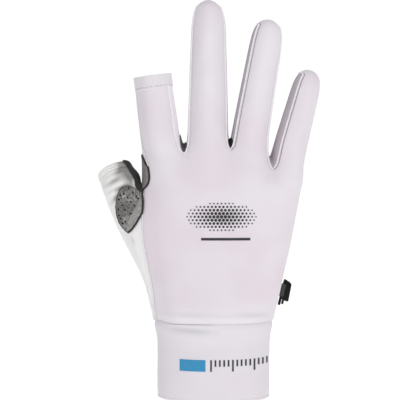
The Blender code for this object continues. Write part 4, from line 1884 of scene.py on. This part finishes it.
@dataclass
class GripSheets:
    """The grip sheets over the thumb's web, along the thumb and across the palm, with bound edges."""

    web_outline: tuple[Spot, ...] = (
        (-48.2, 119.4),
        (-52.8, 116.4),
        (-54.6, 107.0),
        (-52.6, 98.4),
        (-47.6, 92.8),
        (-42.6, 98.0),
        (-39.4, 105.0),
        (-39.0, 110.0),
        (-41.6, 116.2),
    )
    lens_outline: tuple[Spot, ...] = (
        (-40.6, 112.0),
        (-43.6, 106.4),
        (-46.6, 101.0),
        (-48.2, 96.6),
        (-47.4, 93.6),
        (-42.9, 98.6),
        (-39.8, 105.4),
    )
    strip_outline: tuple[Spot, ...] = (
        (-51.5, 135.5),
        (-48.9, 130.0),
        (-46.6, 126.2),
        (-44.4, 122.6),
        (-43.9, 119.8),
        (-42.8, 117.4),
        (-40.0, 115.4),
        (-37.0, 116.0),
        (-34.0, 122.0),
        (-38.0, 138.0),
    )
    palm_outline: tuple[Spot, ...] = (
        (-48.0, 114.0),
        (-48.0, 134.0),
        (-43.0, 137.4),
        (-40.6, 136.8),
        (-39.2, 134.0),
        (-38.0, 132.0),
        (-36.6, 130.6),
        (-28.0, 131.6),
        (-20.0, 133.0),
        (-12.0, 134.0),
        (-4.0, 133.0),
        (4.0, 135.0),
        (13.0, 134.5),
        (21.0, 129.0),
        (31.0, 126.0),
        (33.0, 117.0),
        (18.0, 110.0),
        (-8.0, 108.0),
        (-28.0, 109.0),
        (-38.0, 112.0),
    )
    first_tab: tuple[Spot, ...] = (
        (-18.6, 147.6),
        (-17.2, 145.6),
        (-15.4, 143.0),
        (-13.9, 140.8),
        (-13.6, 139.0),
        (-15.8, 134.5),
        (-17.3, 138.4),
        (-18.3, 142.4),
    )
    second_tab: tuple[Spot, ...] = (
        (8.2, 144.6),
        (9.6, 145.8),
        (10.6, 144.0),
        (10.2, 141.6),
        (9.0, 140.4),
        (8.0, 142.0),
    )
    web_edge: tuple[Spot, ...] = (
        (-39.3, 116.6),
        (-39.0, 114.0),
        (-38.7, 111.0),
        (-38.7, 107.5),
        (-39.6, 104.0),
        (-41.2, 101.0),
        (-42.9, 98.2),
        (-44.9, 95.4),
        (-47.2, 93.1),
    )
    web_rim: tuple[Spot, ...] = (
        (-47.2, 93.4),
        (-50.0, 95.4),
        (-52.2, 98.4),
        (-53.6, 102.4),
        (-54.2, 107.0),
        (-53.6, 112.0),
        (-52.4, 116.0),
        (-50.4, 118.2),
    )
    lobe_reach: Spot = (116.5, 130.2)
    lobe_side: float = -30.0
    lobe_tip: tuple[Spot, ...] = (
        (-37.9, 131.8),
        (-38.5, 133.2),
        (-39.2, 134.6),
        (-39.7, 135.6),
        (-40.1, 136.4),
    )
    web_edge_out: float = 0.95
    web_edge_radius: float = 0.6
    web_rim_out: float = 0.8
    web_rim_radius: float = 0.3
    lobe_edge_out: float = 0.45
    lobe_edge_radius: float = 0.58
    holes: tuple[Spot, ...] = (
        (-47.3, 117.6),
        (-50.1, 114.8),
        (-51.8, 113.7),
        (-45.1, 115.4),
        (-47.9, 112.6),
        (-43.1, 113.1),
        (-52.9, 111.4),
        (-42.0, 112.0),
        (-50.9, 108.1),
        (-44.0, 108.1),
        (-46.2, 110.3),
        (-53.2, 105.8),
        (-49.3, 105.8),
        (-46.2, 103.6),
        (-52.9, 102.5),
        (-51.8, 100.8),
        (-49.0, 99.1),
        (-50.7, 98.0),
    )

    def build(self, skin: bmesh.types.BMesh) -> None:
        """Lays all the sheets and their bound edges.

        Args:
            skin: The smooth skin.
        """
        for sheet in self.sheets():
            sheet.build(skin)
        self.bind(skin)

    def sheets(self) -> tuple[Sheet, ...]:
        """Lists the sheets.

        Returns:
            The sheets, in the order in which they are laid.
        """
        return (
            Sheet(
                "web_sheet",
                (Panel.THUMB,),
                self.web_outline,
                near=-20,
                far=9,
                finish=WORN_GRIP,
                nodes=("web_grip_patch",),
                gap=0.3,
                thickness=0.7,
                holes=self.holes,
            ),
            Sheet(
                "web_backing",
                (Panel.THUMB,),
                self.web_outline,
                near=-20,
                far=9,
                finish=DARK_GRIP,
                gap=0.05,
                thickness=0.2,
            ),
            Sheet(
                "web_lens",
                (Panel.THUMB,),
                self.lens_outline,
                near=-20,
                far=9,
                finish=LIGHT_GRIP,
                gap=0.9,
                thickness=0.25,
            ),
            Sheet(
                "thumb_strip",
                (Panel.THUMB, Panel.THUMB_HEM),
                self.strip_outline,
                near=-20,
                far=40,
                finish=DARK_GRIP,
                nodes=("thumb_grip_patch",),
                gap=0.1,
                thickness=0.6,
            ),
            Sheet(
                "palm_sheet",
                (Panel.PALM,),
                self.palm_outline,
                near=-12,
                far=40,
                finish=GREY_GRIP,
                nodes=("palm_grip_patch",),
            ),
            Sheet(
                "first_web_tab",
                (Panel.SIDE_1,),
                self.first_tab,
                near=-20,
                far=6,
                finish=TAB_GRIP,
                thickness=0.4,
            ),
            Sheet(
                "second_web_tab",
                (Panel.SIDE_2,),
                self.second_tab,
                near=-20,
                far=6,
                finish=DARK_GRIP,
                thickness=0.4,
            ),
        )

    def bind(self, skin: bmesh.types.BMesh) -> None:
        """Lays the black bound edges beside the web and beside the index finger's root.

        Args:
            skin: The smooth skin.
        """
        surface = BVHTree.FromBMesh(skin)
        low, high = (height * MM for height in self.lobe_reach)
        lobe = []
        for run in seam_runs(skin, Panel.BACK, Panel.PALM, self.lobe_edge_out):
            lobe += [point for point in run if point.x < self.lobe_side * MM and low < point.z < high]
        lobe.sort(key=lambda point: point.z)
        lobe += on_skin(surface, self.lobe_tip, self.lobe_edge_out)
        web = on_skin(surface, self.web_edge, self.web_edge_out)
        rim = on_skin(surface, self.web_rim, self.web_rim_out)
        settle(tube_object("web_bound_edge", [web], self.web_edge_radius, BLACK_EDGE), "grip")
        settle(tube_object("web_rim_edge", [rim], self.web_rim_radius, BLACK_EDGE), "grip")
        settle(tube_object("lobe_bound_edge", [lobe], self.lobe_edge_radius, BLACK_EDGE), "grip")


@dataclass
class SideClip:
    """The small buckle at the side of the wrist and the webbing loop that holds it. Each prong has
    its middle, half its width and how low it ends, and each rib its middle."""

    place: Point = (40.6, 7.6, 59.1)
    lean: float = 13.5
    thickness: float = 3.0
    rounding: float = 0.45
    body: tuple[Spot, ...] = (
        (-2.3, -3.9),
        (-2.0, 6.2),
        (-1.3, 6.3),
        (1.9, 5.2),
        (2.8, 4.2),
        (3.2, -5.2),
        (2.8, -5.8),
        (-0.4, -5.4),
    )
    prongs: tuple[tuple[float, float, float], ...] = ((-1.5, 0.72, -8.7), (0.2, 0.6, -7.9))
    prong_inset: float = 0.4
    prong_root: float = -4.0
    prong_rounding: float = 0.25
    ribs: tuple[float, ...] = (-1.25, -0.2, 0.85, 1.9)
    rib_half: float = 0.26
    rib_proud: float = 0.3
    rib_span: Spot = (-4.2, 4.3)
    rib_rounding: float = 0.16
    strap: tuple[Spot, ...] = (
        (-3.1, -2.05),
        (-1.9, -2.05),
        (-1.05, -1.65),
        (-1.05, 1.65),
        (-1.9, 2.05),
        (-3.2, 2.0),
        (-4.6, 1.5),
    )
    strap_width: float = 6.8
    strap_thickness: float = 0.8
    strap_rounding: float = 0.15

    def frame(self) -> Matrix:
        """The clip's place and lean."""
        return Matrix.Translation(vector(self.place)) @ Matrix.Rotation(math.radians(self.lean), 4, "Y")

    def block(self, low: Point, high: Point, bevel: float) -> bmesh.types.BMesh:
        """Makes a small box with rounded edges.

        Args:
            low: Its lowest corner.
            high: Its highest corner.
            bevel: How far its edges are rounded.

        Returns:
            The box.
        """
        bm = bmesh.new()
        size = Matrix.Diagonal((*vector([top - bottom for bottom, top in zip(low, high)]), 1))
        middle = Matrix.Translation(vector([(top + bottom) / 2 for bottom, top in zip(low, high)]))
        bmesh.ops.create_cube(bm, size=1, matrix=middle @ size)
        return self.eased(bm, bevel)

    def eased(self, bm: bmesh.types.BMesh, bevel: float) -> bmesh.types.BMesh:
        """Rounds all edges of a shape.

        Args:
            bm: The shape.
            bevel: How far its edges are rounded, in millimetres.

        Returns:
            The same bmesh.
        """
        bmesh.ops.bevel(
            bm,
            geom=bm.edges[:],
            offset=bevel * MM,
            offset_type="OFFSET",
            affect="EDGES",
            segments=3,
            profile=0.5,
            material=-1,
            clamp_overlap=True,
        )
        return bm

    def build(self) -> None:
        """Builds the buckle and its loop."""
        half = self.thickness / 2
        parts = [self.eased(prism(self.body, -half, half), self.rounding)]
        depth = half - self.prong_inset
        for middle, reach, end in self.prongs:
            low, high = (middle - reach, -depth, end), (middle + reach, depth, self.prong_root)
            parts.append(self.block(low, high, self.prong_rounding))
        depth = half + self.rib_proud
        bottom, top = self.rib_span
        for rib in self.ribs:
            low, high = (rib - self.rib_half, -depth, bottom), (rib + self.rib_half, depth, top)
            parts.append(self.block(low, high, self.rib_rounding))
        whole = bmesh.new()
        for part in parts:
            mesh = bpy.data.meshes.new("part")
            part.to_mesh(mesh)
            part.free()
            whole.from_mesh(mesh)
            bpy.data.meshes.remove(mesh)
        bmesh.ops.transform(whole, matrix=self.frame(), verts=whole.verts)
        settle(to_object("clip_body", whole, BLACK_PLASTIC), "black_plastic", "clip_buckle")
        settle(self.loop(), "webbing", "clip_strap")

    def loop(self) -> bpy.types.Object:
        """Bends the webbing through the buckle.

        Returns:
            The loop.
        """
        bm = bmesh.new()
        path = [bm.verts.new(vector((x, y, -self.strap_width / 2))) for x, y in self.strap]
        edges = [bm.edges.new(pair) for pair in zip(path, path[1:])]
        made = bmesh.ops.extrude_edge_only(bm, edges=edges)["geom"]
        above = [item for item in made if isinstance(item, bmesh.types.BMVert)]
        bmesh.ops.translate(bm, verts=above, vec=vector((0, 0, self.strap_width)))
        bm.normal_update()
        thicken(bm, [vert.normal * -self.strap_thickness * MM for vert in bm.verts])
        self.eased(bm, self.strap_rounding)
        bmesh.ops.transform(bm, matrix=self.frame(), verts=bm.verts)
        return to_object("clip_loop", bm, BLACK_WEBBING)


@dataclass
class Prints:
    """Raised printing: a field of dots on the back, and a plain bar with a ruler on the band."""

    dots_middle: Spot = (4.2, 102.5)
    dots_reach: Spot = (19.5, 8.2)
    dots_pitch: float = 2.1
    dots_columns: int = 12
    dots_end: float = 0.98
    dot_radius: float = 0.98
    dot_sides: int = 14
    dot_shrink: float = 0.62
    shrink_power: float = 1.6
    bar: tuple[Spot, Spot] = ((-7.0, 89.6), (20.0, 91.0))
    block: tuple[Spot, Spot] = ((-18.8, 17.6), (-4.6, 24.0))
    ticks: int = 14
    ticks_start: Spot = (-2.0, 24.0)
    tick_pitch: float = 2.4
    tick_width: float = 0.95
    tick_length: float = 3.6
    long_tick: float = 6.4
    long_every: int = 5
    lift: float = 0.04
    thickness: float = 0.12

    def laid(self, bm: bmesh.types.BMesh, surface: BVHTree) -> bmesh.types.BMesh:
        """Lays flat shapes, seen square to the back, on the cloth and gives them a thickness.

        Args:
            bm: The shapes.
            surface: The cloth.

        Returns:
            The same bmesh, closed.
        """
        steps = []
        for vert in bm.verts:
            start = Vector((vert.co.x, -IN_FRONT * MM, vert.co.z))
            place, normal, _, _ = surface.ray_cast(start, Vector((0, 1, 0)))
            if normal.y > 0:
                normal = -normal
            vert.co = place + normal * self.lift * MM
            steps.append(normal * self.thickness * MM)
        return thicken(bm, steps)

    def dots(self) -> bmesh.types.BMesh:
        """Draws a lens of dots that grow smaller towards its ends.

        Returns:
            The flat dots.
        """
        bm = bmesh.new()
        middle_x, middle_z = self.dots_middle
        reach_x, reach_z = self.dots_reach
        row_pitch = self.dots_pitch * math.sqrt(3) / 2
        rows = int(reach_z / row_pitch)
        turn = Matrix.Rotation(math.radians(90), 4, "X")
        for row in range(-rows, rows + 1):
            for column in range(-self.dots_columns, self.dots_columns + 1):
                x = (column + 0.5 * (row % 2)) * self.dots_pitch
                z = row * row_pitch
                away = math.hypot(x / reach_x, z / reach_z)
                if away > self.dots_end:
                    continue
                radius = self.dot_radius * (1 - self.dot_shrink * away**self.shrink_power)
                place = Matrix.Translation(vector((middle_x + x, 0, middle_z + z)))
                bmesh.ops.create_circle(
                    bm,
                    cap_ends=True,
                    segments=self.dot_sides,
                    radius=radius * MM,
                    matrix=place @ turn,
                )
        return bm

    def rectangle(self, bm: bmesh.types.BMesh, low: Spot, high: Spot) -> None:
        """Adds a flat bar, finely divided so that it can follow the cloth.

        Args:
            bm: The bmesh that gets it.
            low: Its lower left corner.
            high: Its upper right corner.
        """
        width, height = high[0] - low[0], high[1] - low[1]
        columns, rows = max(1, round(width)), max(1, round(height))
        place = Matrix.Translation(vector((low[0] + width / 2, 0, low[1] + height / 2)))
        turn = Matrix.Rotation(math.radians(90), 4, "X")
        size = Matrix.Diagonal((width / 2 * MM, height / 2 * MM, 1, 1))
        bmesh.ops.create_grid(bm, x_segments=columns, y_segments=rows, size=1, matrix=place @ turn @ size)

    def build(self, back: BVHTree, band: BVHTree) -> None:
        """Prints the back and the band.

        Args:
            back: The surface of the hand.
            band: The surface of the wrist band.
        """
        dots = self.dots()
        self.rectangle(dots, *self.bar)
        settle(to_object("back_print", self.laid(dots, back), CHARCOAL_INK), "grip")
        marks = bmesh.new()
        start, top = self.ticks_start
        for tick in range(self.ticks):
            x = start + tick * self.tick_pitch
            length = self.long_tick if tick % self.long_every == 0 else self.tick_length
            self.rectangle(marks, (x, top - length), (x + self.tick_width, top))
        settle(to_object("band_print", self.laid(marks, band), CHARCOAL_INK), "grip")
        block = bmesh.new()
        self.rectangle(block, *self.block)
        settle(to_object("band_print_block", self.laid(block, band), BLUE_INK), "grip")


@dataclass
class Studio:
    """A plain pale floor and backdrop, soft light, and the camera at the photo's angle. Its key and
    fill lights each have a place, a width and a power."""

    target: Point = (-7.6, 0.0, 110.9)
    distance: float = 800.0
    elevation: float = 3.0
    view_width: float = 224.0
    floor_height: float = -150.0
    floor_reach: float = 3000.0
    wall_height: float = 4000.0
    sweep: float = 1200.0
    sweep_steps: int = 16
    surround_radius: float = 2950.0
    surround_sides: int = 96
    sensor: float = 36.0
    world: float = 0.42
    key: tuple[Point, float, float] = ((480, -950, 980), 600, 6.2)
    fill: tuple[Point, float, float] = ((-900, -900, 250), 900, 1.2)

    def build(self) -> None:
        """Builds the studio."""
        self.backdrop()
        self.surround()
        self.camera()
        self.light("key", *self.key)
        self.light("fill", *self.fill)
        world = bpy.data.worlds.new("studio")
        world.use_nodes = True
        background = world.node_tree.nodes["Background"]
        background.inputs["Color"].default_value = (1, 1, 1, 1)
        background.inputs["Strength"].default_value = self.world
        bpy.context.scene.world = world
        bpy.context.scene.view_settings.view_transform = "Standard"

    def backdrop(self) -> None:
        """The floor, which sweeps up behind the glove."""
        bm = bmesh.new()
        bmesh.ops.create_grid(bm, x_segments=1, y_segments=1, size=self.floor_reach * MM)
        back = max(bm.edges, key=lambda edge: sum(vert.co.y for vert in edge.verts))
        made = bmesh.ops.extrude_edge_only(bm, edges=[back])["geom"]
        top = [item for item in made if isinstance(item, bmesh.types.BMVert)]
        bmesh.ops.translate(bm, verts=top, vec=vector((0, 0, self.wall_height)))
        bmesh.ops.bevel(
            bm,
            geom=[back],
            offset=self.sweep * MM,
            offset_type="OFFSET",
            affect="EDGES",
            segments=self.sweep_steps,
            profile=0.5,
            material=-1,
        )
        bmesh.ops.translate(bm, verts=bm.verts, vec=vector((0, 0, self.floor_height)))
        bmesh.ops.recalc_face_normals(bm, faces=bm.faces[:])
        to_object("floor", bm, STUDIO_PAPER)

    def surround(self) -> None:
        """Bright paper all round, which the camera sees and which lights nothing."""
        bm = bmesh.new()
        size = self.surround_radius * MM
        bmesh.ops.create_cone(
            bm,
            segments=self.surround_sides,
            radius1=size,
            radius2=size,
            depth=2 * self.wall_height * MM,
        )
        bmesh.ops.reverse_faces(bm, faces=bm.faces[:])
        made = to_object("surround", bm, BRIGHT_PAPER)
        made.visible_diffuse = made.visible_glossy = made.visible_transmission = made.visible_shadow = False

    def camera(self) -> None:
        """The camera, before the middle of the glove and a little above it."""
        data = bpy.data.cameras.new("camera")
        data.sensor_width = self.sensor
        data.lens = self.sensor * self.distance / self.view_width
        made = bpy.data.objects.new("camera", data)
        bpy.context.scene.collection.objects.link(made)
        rise = math.radians(self.elevation)
        target = vector(self.target)
        made.location = target + Vector((0, -math.cos(rise), math.sin(rise))) * self.distance * MM
        made.rotation_euler = (math.radians(90) - rise, 0, 0)
        bpy.context.scene.camera = made

    def light(self, name: str, place: Point, size: float, power: float) -> None:
        """Hangs a soft square light that faces the glove.

        Args:
            name: The light's name.
            place: Where it hangs, in millimetres.
            size: How wide it is, in millimetres.
            power: Its power, in watts.
        """
        data = bpy.data.lights.new(name, "AREA")
        data.size = size * MM
        data.energy = power
        made = bpy.data.objects.new(name, data)
        made.location = vector(place)
        made.rotation_euler = (vector(self.target) - made.location).to_track_quat("-Z", "Y").to_euler()
        bpy.context.scene.collection.objects.link(made)


def main() -> None:
    """Builds the glove and its studio."""
    logging.basicConfig(level=logging.INFO, format="%(name)s: %(message)s")
    Studio().build()
    shape = Skin()
    skin = shape.build()
    ClothPanels().build(skin)
    SeamRidges().build(skin)
    IndexHem(shape.index.ring).build()
    shape.thumb.sew()
    band = WristBand().build()
    GripSheets().build(skin)
    SideClip().build()
    Prints().build(BVHTree.FromBMesh(skin), band)
    skin.free()


if __name__ == "__main__":
    main()
